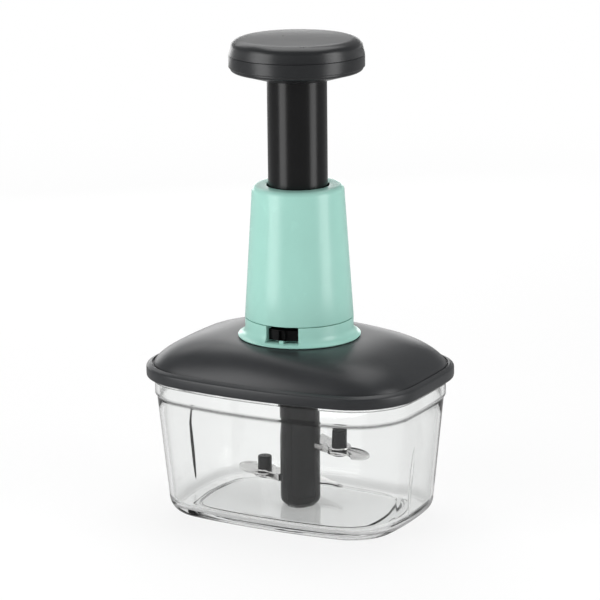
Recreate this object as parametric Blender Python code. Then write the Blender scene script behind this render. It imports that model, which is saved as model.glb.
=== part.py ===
"""Hand-press food chopper: clear bowl, domed lid, tapered drive housing and plunger.

Metres, +Z up. The origin lies under the middle of the bowl, on the surface it stands on.
X runs along the bowl. Pressing the knob drives a nut down a twisted rod, and the rod turns
the blade column through a ratchet cup under the lid.
"""
import math
from collections import namedtuple

import bmesh
import bpy
from mathutils import Matrix, Vector

# Fits between pieces
GAP = 0.0003
RUNNING_FIT = 0.0004
OVERRUN = 0.0015
FACE_STEP = 0.0001

# Points round an outline or a turned piece
OUTLINE_POINTS = 52
TURNED_POINTS = 36
SMALL_POINTS = 24
BEARING_POINTS = 32
SCREW_POINTS = 16
ARC_STEPS = 4
STRAP_END_STEPS = 12
HEEL_STEPS = 6
BLADE_CURVE_STEPS = 2
SHARP_ANGLE = math.radians(35.0)
CORNER_SHARE = 0.12

# Rounded outline with bowed sides: half sizes, rise of each bow, corner radius
Form = namedtuple("Form", "half_length half_width long_bow short_bow corner")

# Lid outline at its rim, and bowl outline at its foot
LID_HALF_LENGTH = 0.0751
LID_HALF_WIDTH = 0.0551
LID_LONG_BOW = 0.0096
LID_SHORT_BOW = 0.0030
LID_CORNER = 0.0345
DRAFT_LENGTH = 0.0098
DRAFT_WIDTH = 0.0119
FOOT_LONG_BOW = 0.0056
FOOT_SHORT_BOW = 0.0053
FOOT_CORNER = 0.0230

LID_FORM = Form(LID_HALF_LENGTH, LID_HALF_WIDTH, LID_LONG_BOW, LID_SHORT_BOW, LID_CORNER)
FOOT_FORM = Form(
    LID_HALF_LENGTH - DRAFT_LENGTH, LID_HALF_WIDTH - DRAFT_WIDTH,
    FOOT_LONG_BOW, FOOT_SHORT_BOW, FOOT_CORNER,
)

# Bowl
BOWL_HEIGHT = 0.0750
BOWL_WALL = 0.0022
BOWL_FLOOR = 0.0030
FOOT_RECESS = 0.0008
FOOT_RING_WIDTH = 0.0060
FOOT_ROUND_HEIGHT = 0.0080
FOOT_ROUND_WIDTH = 0.0030
FLOOR_ROUND = 0.0060
BAND_INSET = 0.0040
LEDGE_STEP = 0.0009
BAND_DEPTH = 0.0138
LEDGE_SLOPE_HEIGHT = 0.0009
RIM_BEAD_REACH = 0.0015
RIM_BEAD_HEIGHT = 0.0028
BOSS_RADIUS = 0.0060
BOSS_HEIGHT = 0.0058
PIN_RADIUS = 0.0025
PIN_HEIGHT = 0.0110
PIN_SEAT_DEPTH = 0.0050
PIN_NOSE = 0.0008
RIB_RADIUS = 0.0013
RIB_SINK = 0.0003
RIB_END = 0.00015
RIB_FOOT_RISE = 0.0060
RIB_TOP_DROP = 0.0080
RIB_POINTS = 12
RIB_SHARES = (0.0, 0.06, 0.18, 0.5, 0.82, 0.94, 1.0)

# Lid
SKIRT_DROP = 0.0038
SKIRT_WALL = 0.0022
SKIRT_ROUND = 0.0006
BAND_HEIGHT = 0.0058
BEAD_DEPTH = 0.0011
BEAD_RISE = 0.0010
BEAD_WIDTH = 0.0012
DOME_RISE = 0.0142
DOME_FULLNESS = 2.5
DOME_ROUNDNESS = 1.28
DOME_SPACING = 1.5
DOME_STEPS = 8
DOME_INNER_STEPS = 4
DOME_WALL = 0.0024
DOME_EDGE_WALL = 0.0020
LINER_THICKNESS = 0.0018
LINER_EDGE_INSET = 0.0028
PLUG_DEPTH = 0.0031
PLUG_WALL = 0.0014
PLUG_LIP = 0.0009
PLUG_LIP_HEIGHT = 0.0005
GASKET_WIDTH = 0.0019

# Drive housing
COLLAR_FLARE = 0.0036
COLLAR_FLARE_HEIGHT = 0.0050
COLLAR_FLARE_START = math.radians(-105.0)
COLLAR_FLARE_END = math.radians(-180.0)
COLLAR_EDGE = 0.0008
COLLAR_HEIGHT = 0.0097
COLLAR_WALL = 0.0022
COLLAR_FLOOR = 0.0022
COLLAR_LIP_HEIGHT = 0.0016
COLLAR_LIP_REACH = 0.0020
SPIGOT_HEIGHT = 0.0024
SPIGOT_WALL = 0.0017
HUB_RADIUS = 0.0088
HUB_HEIGHT = 0.0024
CONE_HEIGHT = 0.0684
CONE_SHOULDER = 0.0083
CONE_WALL = 0.0021
CONE_TOP_ROUND = 0.0022
CONE_HOLE_CLEARANCE = 0.0008
CONE_CROWN = 0.0018
RAIL_WIDTH = 0.0040
RAIL_CLEARANCE = 0.0018
BUSH_HEIGHT = 0.0127

# Lock ring and its window
WINDOW_START = math.radians(-97.6)
WINDOW_END = math.radians(-63.3)
LOCK_RIB_ANGLES = (math.radians(-85.2), math.radians(-78.4))
LOCK_RIB_WIDTH = 0.0011
LOCK_RIB_REACH = 0.0016
LOCK_RING_WALL = 0.0042
LOCK_TONGUE_ANGLE = math.radians(90.0)
LOCK_TONGUE_WIDTH = 0.0050
LOCK_TONGUE_HEIGHT = 0.0020
LOCK_POST_WALL = 0.0018
LOCK_STEP = 0.0004
POINTER_ANGLE = math.radians(-81.8)
POINTER_WIDTH = 0.0016
POINTER_HEIGHT = 0.0010
POINTER_DEPTH = 0.0015

# Plunger and knob
STROKE = 0.048
TUBE_RADIUS = 0.0150
TUBE_WALL = 0.0030
TUBE_REACH = 0.0546
FLANGE_REACH = 0.0032
FLANGE_THICKNESS = 0.0025
KNOB_RADIUS = 0.0340
KNOB_HEIGHT = 0.0193
KNOB_BASE_HEIGHT = 0.0101
KNOB_LIP_HEIGHT = 0.0052
KNOB_LIP_WIDTH = 0.0050
KNOB_DISH_RISE = 0.0028
KNOB_SKIRT_LAND = 0.0027
KNOB_SHOULDER = 0.0056
KNOB_SHOULDER_WIDTH = 0.0113
KNOB_CROWN = 0.0005
KNOB_WALL = 0.0024
KNOB_SNAP_HEIGHT = 0.0020
KNOB_SNAP_WALL = 0.0012
KNOB_PLATE = 0.0024
KNOB_HUB_WALL = 0.0022
NUT_HEIGHT = 0.0090
NUT_LEDGE = 0.0007

# Twisted rod, ratchet and spring
ROD_LEAD = 0.040
ROD_FLAT = 0.0074
ROD_END_FLAT = 0.0060
ROD_JOURNAL_RADIUS = 0.0050
ROD_FLANGE_RADIUS = 0.0080
ROD_FLANGE_THICKNESS = 0.0020
ROD_TAIL_RADIUS = 0.0029
ROD_TIP_RADIUS = 0.0025
ROD_TIP_HEIGHT = 0.0026
ROD_SPARE = 0.0040
TWIST_STEP = math.radians(20.0)
CUP_SOCKET_DEPTH = 0.0102
CUP_WEB = 0.0024
CUP_CHAMBER_DEPTH = 0.0042
CUP_WALL = 0.0018
CUP_CLEARANCE = 0.0009
CUP_DROP = 0.0014
RATCHET_TEETH = 12
RATCHET_RADIUS = 0.0084
RATCHET_TOOTH = 0.0014
RATCHET_THICKNESS = 0.0034
TOOTH_SHARES = (0.0, 0.33, 0.66, 0.97)
PAWL_COUNT = 3
PAWL_WIDTH = 0.0012
PAWL_LENGTH = 0.0021
SEAT_CLEARANCE = 0.0008
SEAT_THICKNESS = 0.0022
SEAT_SPIGOT_CLEARANCE = 0.0018
SEAT_SPIGOT_HEIGHT = 0.0030
SPRING_CLEARANCE = 0.0028
SPRING_WIRE = 0.0011
SPRING_TURNS = 9
SPRING_POINTS_PER_TURN = 12

# Screws
SCREW_CLEARANCE = 0.0012
SCREW_ANGLES = (math.radians(30.0), math.radians(150.0), math.radians(270.0))
SCREW_RADIUS = 0.0014
SCREW_HEAD_RADIUS = 0.0028
SCREW_HEAD_HEIGHT = 0.0018
SCREW_BOSS_RADIUS = 0.0030
SCREW_BOSS_HEIGHT = 0.0042
SCREW_LENGTH = 0.0070
CUP_SCREW_HEAD_RADIUS = 0.0046
CUP_SCREW_HEAD_HEIGHT = 0.0015
CUP_SCREW_LENGTH = 0.0065

# Blade column
COLUMN_RADIUS = 0.01025
COLUMN_FOOT_WALL = 0.0014
COLUMN_FOOT_HEIGHT = 0.0030
COLUMN_BORE = 0.0055
COLUMN_SEAT_WALL = 0.0030
BUSHING_HEIGHT = 0.0042
HEAD_FLAT = 0.0140
HEAD_HEIGHT = 0.0078
HEAD_SPIGOT_DEPTH = 0.0120
COVER_THICKNESS = 0.0012
COVER_BOTTOM = 0.0085
COVER_TOP = 0.0445
COVER_START = math.radians(-87.7)
COVER_END = math.radians(84.0)
COVER_STEPS = 16

# Straps, posts and blades
STEEL = 0.0008
LEAF_SPACING = 0.0030
STRAP_WIDTH = 0.0086
STRAP_END_RADIUS = 0.0058
STRAP_ROOT = 0.0066
STRAP_SWEEP = 0.0050
POST_RADIUS = 0.0036
POST_BELOW = 0.0012
POST_ABOVE = 0.0062
POST_EDGE = 0.0004
LOWER_LEVEL = 0.0168
UPPER_LEVEL = 0.0353
LOWER_POST_REACH = 0.0212
UPPER_POST_REACH = 0.0232
LOWER_STRAP_ANGLE = math.radians(162.0)
UPPER_STRAP_ANGLE = math.radians(-18.0)
LOWER_BLADE_ANGLE = math.radians(180.0)
UPPER_BLADE_ANGLE = math.radians(2.0)
LOWER_BLADE_LENGTH = 0.0178
UPPER_BLADE_LENGTH = 0.0190
BLADE_HEEL_RADIUS = 0.0058
HEEL_START = math.radians(70.0)
HEEL_SWEEP = math.radians(220.0)
BLADE_WIDTH = 0.0186
FLOOR_BLADE_LEVEL = 0.0088
FLOOR_BLADE_REACH = 0.0340
FLOOR_BLADE_ROOT_WIDTH = 0.0090
FLOOR_BLADE_ANGLE = math.radians(118.0)

# Places along a swing blade, as shares of its length and of its width
SWING_BLADE_SHARES = (
    (0.36, -0.36), (0.50, -0.44), (0.63, -0.62), (0.76, -0.61), (0.90, -0.56),
    (0.985, -0.42), (0.98, -0.22), (0.88, -0.04), (0.72, 0.12), (0.52, 0.24), (0.30, 0.30),
)

# Places round the floor blade: turn from its root line in radians, and share of its reach
FLOOR_BLADE_SHARES = (
    (-0.16, 0.42), (-0.50, 0.47), (-0.84, 0.55), (-1.10, 0.61), (-1.26, 0.65),
    (-1.02, 0.69), (-0.74, 0.70), (-0.50, 0.78), (-0.30, 0.89), (-0.08, 0.97),
    (0.14, 1.00), (0.29, 0.88), (0.37, 0.66), (0.37, 0.42),
)

# Heights worked out from the sizes above, bottom to top
FLOOR_Z = BOWL_FLOOR
LEDGE_HEIGHT = BOWL_HEIGHT - BAND_DEPTH
BOSS_Z = FLOOR_Z + BOSS_HEIGHT
PIN_TOP_Z = BOSS_Z + PIN_HEIGHT
COLUMN_Z = FLOOR_Z + GAP
BUSHING_Z = BOSS_Z + GAP
BUSHING_TOP_Z = BUSHING_Z + BUSHING_HEIGHT
SKIRT_Z = BOWL_HEIGHT - SKIRT_DROP
LID_BAND_Z = SKIRT_Z + BAND_HEIGHT
LINER_Z = BOWL_HEIGHT + GAP
LINER_TOP_Z = LINER_Z + LINER_THICKNESS
DOME_Z = LID_BAND_Z + BEAD_RISE
DOME_TOP_Z = DOME_Z + DOME_RISE
DOME_ROOF_Z = DOME_TOP_Z - DOME_WALL
COLLAR_Z = DOME_TOP_Z + GAP
COLLAR_FLOOR_Z = COLLAR_Z + COLLAR_FLOOR
COLLAR_TOP_Z = COLLAR_Z + COLLAR_HEIGHT
HUB_TOP_Z = COLLAR_FLOOR_Z + HUB_HEIGHT
LOCK_Z = COLLAR_FLOOR_Z + GAP
LOCK_TOP_Z = COLLAR_TOP_Z - COLLAR_LIP_HEIGHT - GAP
SPIGOT_TOP_Z = COLLAR_TOP_Z + SPIGOT_HEIGHT
CONE_Z = COLLAR_TOP_Z + GAP
CONE_TOP_Z = CONE_Z + CONE_HEIGHT
BUSH_TOP_Z = CONE_TOP_Z - CONE_CROWN - GAP
BUSH_Z = BUSH_TOP_Z - BUSH_HEIGHT
FLANGE_TOP_Z = BUSH_Z - GAP
TUBE_Z = FLANGE_TOP_Z - FLANGE_THICKNESS
TONGUE_Z = FLANGE_TOP_Z - STROKE + RUNNING_FIT
KNOB_Z = CONE_TOP_Z + TUBE_REACH
KNOB_LIP_Z = KNOB_Z + KNOB_LIP_HEIGHT
KNOB_SEAM_Z = KNOB_Z + KNOB_BASE_HEIGHT
KNOB_TOP_Z = KNOB_Z + KNOB_HEIGHT
KNOB_PLATE_TOP_Z = KNOB_SEAM_Z + KNOB_SNAP_WALL
KNOB_PLATE_Z = KNOB_PLATE_TOP_Z - KNOB_PLATE
TUBE_TOP_Z = KNOB_PLATE_Z - GAP
NUT_Z = TUBE_Z + GAP
NUT_TOP_Z = NUT_Z + NUT_HEIGHT
ROD_FLANGE_Z = HUB_TOP_Z + GAP
ROD_FLANGE_TOP_Z = ROD_FLANGE_Z + ROD_FLANGE_THICKNESS
ROD_TWIST_TOP_Z = NUT_TOP_Z + ROD_SPARE
SEAT_Z = ROD_TWIST_TOP_Z + GAP
SEAT_TOP_Z = SEAT_Z + SEAT_THICKNESS
CUP_TOP_Z = DOME_TOP_Z - CUP_DROP
CUP_CHAMBER_Z = CUP_TOP_Z - CUP_CHAMBER_DEPTH
CUP_WEB_Z = CUP_CHAMBER_Z - CUP_WEB
CUP_Z = CUP_WEB_Z - CUP_SOCKET_DEPTH
RATCHET_Z = CUP_CHAMBER_Z + GAP
RATCHET_TOP_Z = RATCHET_Z + RATCHET_THICKNESS
CUP_SCREW_TOP_Z = CUP_WEB_Z - GAP
HEAD_TOP_Z = CUP_SCREW_TOP_Z - CUP_SCREW_HEAD_HEIGHT - RUNNING_FIT
HEAD_Z = HEAD_TOP_Z - HEAD_HEIGHT
COLUMN_TOP_Z = HEAD_Z - GAP

# Radii worked out from the sizes above
FLANGE_RADIUS = TUBE_RADIUS + FLANGE_REACH
TUBE_BORE = TUBE_RADIUS - TUBE_WALL
NUT_RADIUS = TUBE_BORE + NUT_LEDGE - GAP
SPRING_RADIUS = TUBE_BORE - SPRING_CLEARANCE
SEAT_RADIUS = TUBE_BORE - SEAT_CLEARANCE
SEAT_SPIGOT_RADIUS = SPRING_RADIUS - SPRING_WIRE / 2.0 - SEAT_SPIGOT_CLEARANCE
LOCK_POST_INNER = FLANGE_RADIUS + RUNNING_FIT
LOCK_POST_OUTER = LOCK_POST_INNER + LOCK_POST_WALL
LOCK_INNER = LOCK_POST_OUTER + LOCK_STEP
LOCK_OUTER = LOCK_INNER + LOCK_RING_WALL
COLLAR_BORE = LOCK_OUTER + GAP
COLLAR_RADIUS = COLLAR_BORE + COLLAR_WALL
CONE_TOP_RADIUS = TUBE_RADIUS + CONE_SHOULDER
RAIL_REACH = TUBE_RADIUS + RAIL_CLEARANCE
SCREW_CIRCLE = LOCK_INNER - SCREW_CLEARANCE - SCREW_BOSS_RADIUS
CUP_CHAMBER_RADIUS = RATCHET_RADIUS + PAWL_LENGTH
CUP_RADIUS = CUP_CHAMBER_RADIUS + CUP_WALL
CUP_HOLE_RADIUS = CUP_RADIUS + CUP_CLEARANCE
KNOB_DISH_RADIUS = KNOB_RADIUS - KNOB_LIP_WIDTH
KNOB_FACE_RADIUS = KNOB_RADIUS - KNOB_SHOULDER_WIDTH
KNOB_SKIRT_RADIUS = TUBE_RADIUS + KNOB_SKIRT_LAND
COLUMN_SEAT_BORE = COLUMN_RADIUS - COLUMN_SEAT_WALL
COLUMN_FOOT_RADIUS = COLUMN_SEAT_BORE + COLUMN_FOOT_WALL


def clear_scene():
    for thing in list(bpy.data.objects):
        bpy.data.objects.remove(thing, do_unlink=True)


def make_material(name, colour, roughness, metallic=0.0, alpha=1.0):
    material = bpy.data.materials.new(name)
    material.use_nodes = True
    shader = material.node_tree.nodes["Principled BSDF"]
    shader.inputs["Base Color"].default_value = (*colour, 1.0)
    shader.inputs["Roughness"].default_value = roughness
    shader.inputs["Metallic"].default_value = metallic
    shader.inputs["Alpha"].default_value = alpha
    return material


# Outlines and rings

def inset(form, depth):
    """The same outline drawn in by a depth, with its bows kept."""
    return form._replace(
        half_length=form.half_length - depth,
        half_width=form.half_width - depth,
        corner=form.corner - depth,
    )


def mix(low, high, share):
    return Form(*(a + (b - a) * share for a, b in zip(low, high)))


def bow_circle(half_span, reach, rise):
    """Radius of a side's bow, and how far its centre lies from the origin."""
    radius = (half_span ** 2 + rise ** 2) / (2.0 * rise)
    return radius, reach - radius


def outline_reach(form, angle):
    """Distance from the middle to the outline along a direction."""
    ray = Vector((abs(math.cos(angle)), abs(math.sin(angle))))
    long_radius, long_centre = bow_circle(form.half_length, form.half_width, form.long_bow)
    short_radius, short_centre = bow_circle(form.half_width, form.half_length, form.short_bow)
    long_middle = Vector((0.0, long_centre))
    short_middle = Vector((short_centre, 0.0))
    span = short_middle - long_middle
    from_long = long_radius - form.corner
    from_short = short_radius - form.corner
    along = (from_long ** 2 - from_short ** 2 + span.length_squared) / (2.0 * span.length)
    across = math.sqrt(max(from_long ** 2 - along ** 2, 0.0))
    unit = span.normalized()
    corner = long_middle + unit * along + Vector((unit.y, -unit.x)) * across
    long_touch = long_middle + (corner - long_middle).normalized() * long_radius
    short_touch = short_middle + (corner - short_middle).normalized() * short_radius
    turn = math.atan2(ray.y, ray.x)
    if turn > math.atan2(long_touch.y, long_touch.x):
        centre, radius = long_middle, long_radius
    elif turn < math.atan2(short_touch.y, short_touch.x):
        centre, radius = short_middle, short_radius
    else:
        centre, radius = corner, form.corner
    middle = ray.dot(centre)
    return middle + math.sqrt(radius ** 2 - centre.length_squared + middle ** 2)


def turns(count):
    return [2.0 * math.pi * index / count for index in range(count)]


def outline_turns(count):
    """Directions round an outline, closer together at its corners."""
    return [angle + CORNER_SHARE * math.sin(4.0 * angle) for angle in turns(count)]


def outline_ring(form, height, count=OUTLINE_POINTS):
    ring = []
    for angle in outline_turns(count):
        reach = outline_reach(form, angle)
        ring.append(Vector((reach * math.cos(angle), reach * math.sin(angle), height)))
    return ring


def circle_ring(radius, height, count=TURNED_POINTS):
    return [Vector((radius * math.cos(a), radius * math.sin(a), height)) for a in turns(count)]


def middle_ring(radius, height, count=OUTLINE_POINTS):
    """A circle whose points face those of an outline."""
    return [
        Vector((radius * math.cos(a), radius * math.sin(a), height))
        for a in outline_turns(count)
    ]


def square_ring(half_flat, height, turn, count):
    """A square drawn on rays that turn with it, so that rings of one twist match."""
    ring = []
    for angle in turns(count):
        reach = half_flat / max(abs(math.cos(angle)), abs(math.sin(angle)))
        ring.append(Vector((reach * math.cos(angle + turn), reach * math.sin(angle + turn), height)))
    return ring


def turned_circle(radius, height, turn, count):
    return [
        Vector((radius * math.cos(a + turn), radius * math.sin(a + turn), height))
        for a in turns(count)
    ]


def hexagon_ring(half_flat, height, count):
    ring = []
    sixth = math.pi / 3.0
    for angle in turns(count):
        local = (angle % sixth) - sixth / 2.0
        reach = half_flat / math.cos(local)
        ring.append(Vector((reach * math.cos(angle), reach * math.sin(angle), height)))
    return ring


def blend_ring(outer, inner, share):
    return [a.lerp(b, share) for a, b in zip(outer, inner)]


def arc_points(centre, reach, rise, start, end, steps=ARC_STEPS):
    """Points (radius, height) on a quarter-like arc of an ellipse."""
    points = []
    for step in range(steps + 1):
        angle = start + (end - start) * step / steps
        points.append((centre[0] + reach * math.cos(angle), centre[1] + rise * math.sin(angle)))
    return points


# Solids

def solid_from_rings(rings, closed):
    """Skin rings of equal count: closed joins the last to the first, else both are capped."""
    shell = bmesh.new()
    rows = [[shell.verts.new(point) for point in ring] for ring in rings]
    count = len(rows[0])
    pairs = list(zip(rows, rows[1:]))
    if closed:
        pairs.append((rows[-1], rows[0]))
    for low, high in pairs:
        for index in range(count):
            following = (index + 1) % count
            shell.faces.new((low[index], low[following], high[following], high[index]))
    if not closed:
        shell.faces.new(list(reversed(rows[0])))
        shell.faces.new(rows[-1])
    bmesh.ops.recalc_face_normals(shell, faces=shell.faces)
    return shell


def add_object(name, shell, material, sharp=SHARP_ANGLE):
    mesh = bpy.data.meshes.new(name)
    shell.to_mesh(mesh)
    shell.free()
    mesh.materials.append(material)
    mesh.shade_smooth()
    mesh.set_sharp_from_angle(angle=sharp)
    piece = bpy.data.objects.new(name, mesh)
    bpy.context.scene.collection.objects.link(piece)
    return piece


def add_turned(name, profile, material, closed=True, count=TURNED_POINTS):
    rings = [circle_ring(radius, height, count) for radius, height in profile]
    return add_object(name, solid_from_rings(rings, closed), material)


def add_guide(name, shell):
    """A body used only to cut or to join, left out of the finished object."""
    mesh = bpy.data.meshes.new(name)
    shell.to_mesh(mesh)
    shell.free()
    guide = bpy.data.objects.new(name, mesh)
    bpy.context.scene.collection.objects.link(guide)
    guide.hide_render = True
    guide.display_type = "WIRE"
    return guide


def combine(piece, guide, operation):
    modifier = piece.modifiers.new(guide.name, "BOOLEAN")
    modifier.operation = operation
    modifier.object = guide
    modifier.solver = "EXACT"


def sector_shell(inner, outer, low, high, start, end, steps):
    """A curved bar between two radii, two heights and two angles."""
    rings = []
    for step in range(steps + 1):
        angle = start + (end - start) * step / steps
        across = Vector((math.cos(angle), math.sin(angle), 0.0))
        rings.append([
            across * inner + Vector((0.0, 0.0, low)),
            across * outer + Vector((0.0, 0.0, low)),
            across * outer + Vector((0.0, 0.0, high)),
            across * inner + Vector((0.0, 0.0, high)),
        ])
    return solid_from_rings(rings, closed=False)


def radial_bar(inner, outer, width, low, high, angle, sweep=0.0):
    """A straight bar that points outward along an angle, set to one side by its sweep."""
    out = Vector((math.cos(angle), math.sin(angle), 0.0))
    across = Vector((-out.y, out.x, 0.0))
    side = across * (width / 2.0)
    rings = []
    for height in (low, high):
        lift = across * sweep + Vector((0.0, 0.0, height))
        rings.append([
            out * inner - side + lift, out * outer - side + lift,
            out * outer + side + lift, out * inner + side + lift,
        ])
    return solid_from_rings(rings, closed=False)


def upright(radius, low, high, centre, count=SMALL_POINTS):
    """A plain round bar standing at a place."""
    rings = []
    for height in (low, high):
        rings.append([point + Vector((centre[0], centre[1], 0.0))
                      for point in circle_ring(radius, height, count)])
    return solid_from_rings(rings, closed=False)


def plate_shell(outline, low, high):
    rings = [[Vector((x, y, height)) for x, y in outline] for height in (low, high)]
    return solid_from_rings(rings, closed=False)


def smooth_closed(points, steps):
    """A closed curve through points, by Catmull-Rom spans."""
    count = len(points)
    curve = []
    for index in range(count):
        before, start, end, after = (points[(index + k) % count] for k in (-1, 0, 1, 2))
        for step in range(steps):
            t = step / steps
            curve.append(tuple(
                0.5 * (2.0 * s + (e - b) * t + (2.0 * b - 5.0 * s + 4.0 * e - a) * t ** 2
                       + (3.0 * s - b - 3.0 * e + a) * t ** 3)
                for b, s, e, a in zip(before, start, end, after)
            ))
    return curve


# Bowl

def bowl_wall_form(height):
    """Outside of the drafted wall at a height."""
    top = inset(LID_FORM, BAND_INSET + LEDGE_STEP)
    share = (height - FOOT_ROUND_HEIGHT) / (LEDGE_HEIGHT - FOOT_ROUND_HEIGHT)
    return mix(FOOT_FORM, top, share)


def bowl_outer_rings():
    rings = []
    foot_edge = inset(FOOT_FORM, FOOT_ROUND_WIDTH)
    recess_edge = inset(foot_edge, FOOT_RING_WIDTH)
    rings.append(outline_ring(inset(recess_edge, FOOT_RECESS), FOOT_RECESS))
    rings.append(outline_ring(recess_edge, 0.0))
    for step in range(ARC_STEPS + 1):
        angle = math.pi / 2.0 * step / ARC_STEPS
        depth = FOOT_ROUND_WIDTH * (1.0 - math.sin(angle))
        rings.append(outline_ring(inset(FOOT_FORM, depth), FOOT_ROUND_HEIGHT * (1.0 - math.cos(angle))))
    band = inset(LID_FORM, BAND_INSET)
    bead = inset(LID_FORM, BAND_INSET - RIM_BEAD_REACH)
    bead_z = BOWL_HEIGHT - RIM_BEAD_HEIGHT
    rings.append(outline_ring(bowl_wall_form(LEDGE_HEIGHT), LEDGE_HEIGHT))
    rings.append(outline_ring(band, LEDGE_HEIGHT + LEDGE_SLOPE_HEIGHT))
    rings.append(outline_ring(band, bead_z))
    rings.append(outline_ring(bead, bead_z + RIM_BEAD_REACH / 2.0))
    rings.append(outline_ring(bead, BOWL_HEIGHT))
    return rings


def bowl_inner_rings():
    rings = []
    band_inside = inset(LID_FORM, BAND_INSET + BOWL_WALL)
    step_z = LEDGE_HEIGHT + LEDGE_SLOPE_HEIGHT
    rings.append(outline_ring(band_inside, BOWL_HEIGHT))
    rings.append(outline_ring(band_inside, step_z))
    rings.append(outline_ring(inset(bowl_wall_form(LEDGE_HEIGHT), BOWL_WALL), LEDGE_HEIGHT - LEDGE_STEP))
    for step in range(ARC_STEPS + 1):
        angle = math.pi / 2.0 * step / ARC_STEPS
        height = FLOOR_Z + FLOOR_ROUND * (1.0 - math.sin(angle))
        depth = BOWL_WALL + FLOOR_ROUND * (1.0 - math.cos(angle))
        rings.append(outline_ring(inset(bowl_wall_form(FLOOR_Z + FLOOR_ROUND), depth), height))
    rings.append(middle_ring(BOSS_RADIUS + GAP, FLOOR_Z))
    rings.append(middle_ring(BOSS_RADIUS, BOSS_Z))
    rings.append(middle_ring(PIN_RADIUS + GAP, BOSS_Z))
    rings.append(middle_ring(PIN_RADIUS + GAP, BOSS_Z - PIN_SEAT_DEPTH - GAP))
    return rings


def bowl_rib_shell(side):
    """A slim rib down the middle of one end wall, swelling from a point at each end."""
    low = FLOOR_Z + RIB_FOOT_RISE
    high = LEDGE_HEIGHT - RIB_TOP_DROP
    rings = []
    for share in RIB_SHARES:
        height = low + (high - low) * share
        swell = RIB_END + (RIB_RADIUS - RIB_END) * math.sqrt(abs(math.sin(math.pi * share)))
        wall = inset(bowl_wall_form(height), BOWL_WALL).half_length
        centre = Vector((side * (wall + RIB_SINK), 0.0, 0.0))
        rings.append([point + centre for point in circle_ring(swell, height, RIB_POINTS)])
    return solid_from_rings(rings, closed=False)


def build_bowl(material):
    rings = bowl_outer_rings() + bowl_inner_rings()
    bowl = add_object("container", solid_from_rings(rings, closed=False), material)
    for side, name in ((-1.0, "left_rib"), (1.0, "right_rib")):
        combine(bowl, add_guide(name, bowl_rib_shell(side)), "UNION")
    return bowl


def build_bowl_pin(material):
    bottom = BOSS_Z - PIN_SEAT_DEPTH
    profile = [
        (PIN_RADIUS, bottom), (PIN_RADIUS, PIN_TOP_Z - PIN_NOSE),
        (PIN_RADIUS - PIN_NOSE, PIN_TOP_Z),
    ]
    return add_turned("bowl_pin", profile, material, closed=False, count=SMALL_POINTS)


# Lid

def dome_height(share):
    """Share of the dome's rise at a share of the way from rim to crown."""
    return (1.0 - (1.0 - share) ** DOME_FULLNESS) ** (1.0 / DOME_ROUNDNESS)


def dome_rings(edge, edge_z, crown_radius, crown_z, steps):
    crown = middle_ring(crown_radius, 0.0)
    base = outline_ring(edge, 0.0)
    rings = []
    for step in range(steps + 1):
        share = (step / steps) ** DOME_SPACING
        height = edge_z + (crown_z - edge_z) * dome_height(share)
        ring = blend_ring(base, crown, share)
        for point in ring:
            point.z = height
        rings.append(ring)
    return rings


def lid_rings():
    collar_foot = COLLAR_RADIUS + COLLAR_FLARE
    groove = inset(LID_FORM, BEAD_DEPTH)
    dome_edge = inset(LID_FORM, BEAD_DEPTH + BEAD_WIDTH)
    inner_edge = inset(dome_edge, DOME_EDGE_WALL)
    skirt_inside = inset(LID_FORM, SKIRT_WALL)
    ledge_z = LINER_TOP_Z + GAP
    rings = [
        outline_ring(inset(LID_FORM, SKIRT_ROUND), SKIRT_Z),
        outline_ring(LID_FORM, SKIRT_Z + SKIRT_ROUND),
        outline_ring(LID_FORM, LID_BAND_Z - SKIRT_ROUND),
        outline_ring(inset(LID_FORM, SKIRT_ROUND), LID_BAND_Z),
        outline_ring(groove, LID_BAND_Z - SKIRT_ROUND / 2.0),
    ]
    rings += dome_rings(dome_edge, DOME_Z, collar_foot, DOME_TOP_Z, DOME_STEPS)
    rings.append(middle_ring(CUP_HOLE_RADIUS, DOME_TOP_Z))
    rings.append(middle_ring(CUP_HOLE_RADIUS, DOME_ROOF_Z))
    rings += reversed(dome_rings(
        inner_edge, ledge_z, collar_foot - DOME_WALL, DOME_ROOF_Z, DOME_INNER_STEPS,
    ))
    rings.append(outline_ring(skirt_inside, ledge_z))
    rings.append(outline_ring(skirt_inside, SKIRT_Z))
    return rings


def screw_places():
    return [(SCREW_CIRCLE * math.cos(a), SCREW_CIRCLE * math.sin(a)) for a in SCREW_ANGLES]


def build_lid_shell(material):
    lid = add_object("lid_shell", solid_from_rings(lid_rings(), closed=True), material)
    for number, place in enumerate(screw_places(), start=1):
        hole = upright(SCREW_RADIUS + GAP, DOME_ROOF_Z - OVERRUN, DOME_TOP_Z + OVERRUN, place)
        combine(lid, add_guide(f"lid_screw_hole_{number}", hole), "DIFFERENCE")
    return lid


def plug_inset():
    """Outside of the plug wall, measured in from the lid's edge."""
    return BAND_INSET + BOWL_WALL + GAP + GASKET_WIDTH + GAP


def build_lid_liner(material):
    count = TURNED_POINTS
    edge = inset(LID_FORM, LINER_EDGE_INSET)
    plug = inset(LID_FORM, plug_inset())
    lip = inset(LID_FORM, plug_inset() - PLUG_LIP)
    inner = inset(LID_FORM, plug_inset() + PLUG_WALL)
    bottom = LINER_Z - PLUG_DEPTH
    rings = [
        middle_ring(CUP_HOLE_RADIUS, LINER_Z, count),
        outline_ring(inner, LINER_Z, count),
        outline_ring(inner, bottom, count),
        outline_ring(lip, bottom, count),
        outline_ring(lip, bottom + PLUG_LIP_HEIGHT, count),
        outline_ring(plug, bottom + PLUG_LIP_HEIGHT, count),
        outline_ring(plug, LINER_Z, count),
        outline_ring(edge, LINER_Z, count),
        outline_ring(edge, LINER_TOP_Z, count),
        middle_ring(CUP_HOLE_RADIUS, LINER_TOP_Z, count),
    ]
    return add_object("lid_liner", solid_from_rings(rings, closed=True), material)


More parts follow.
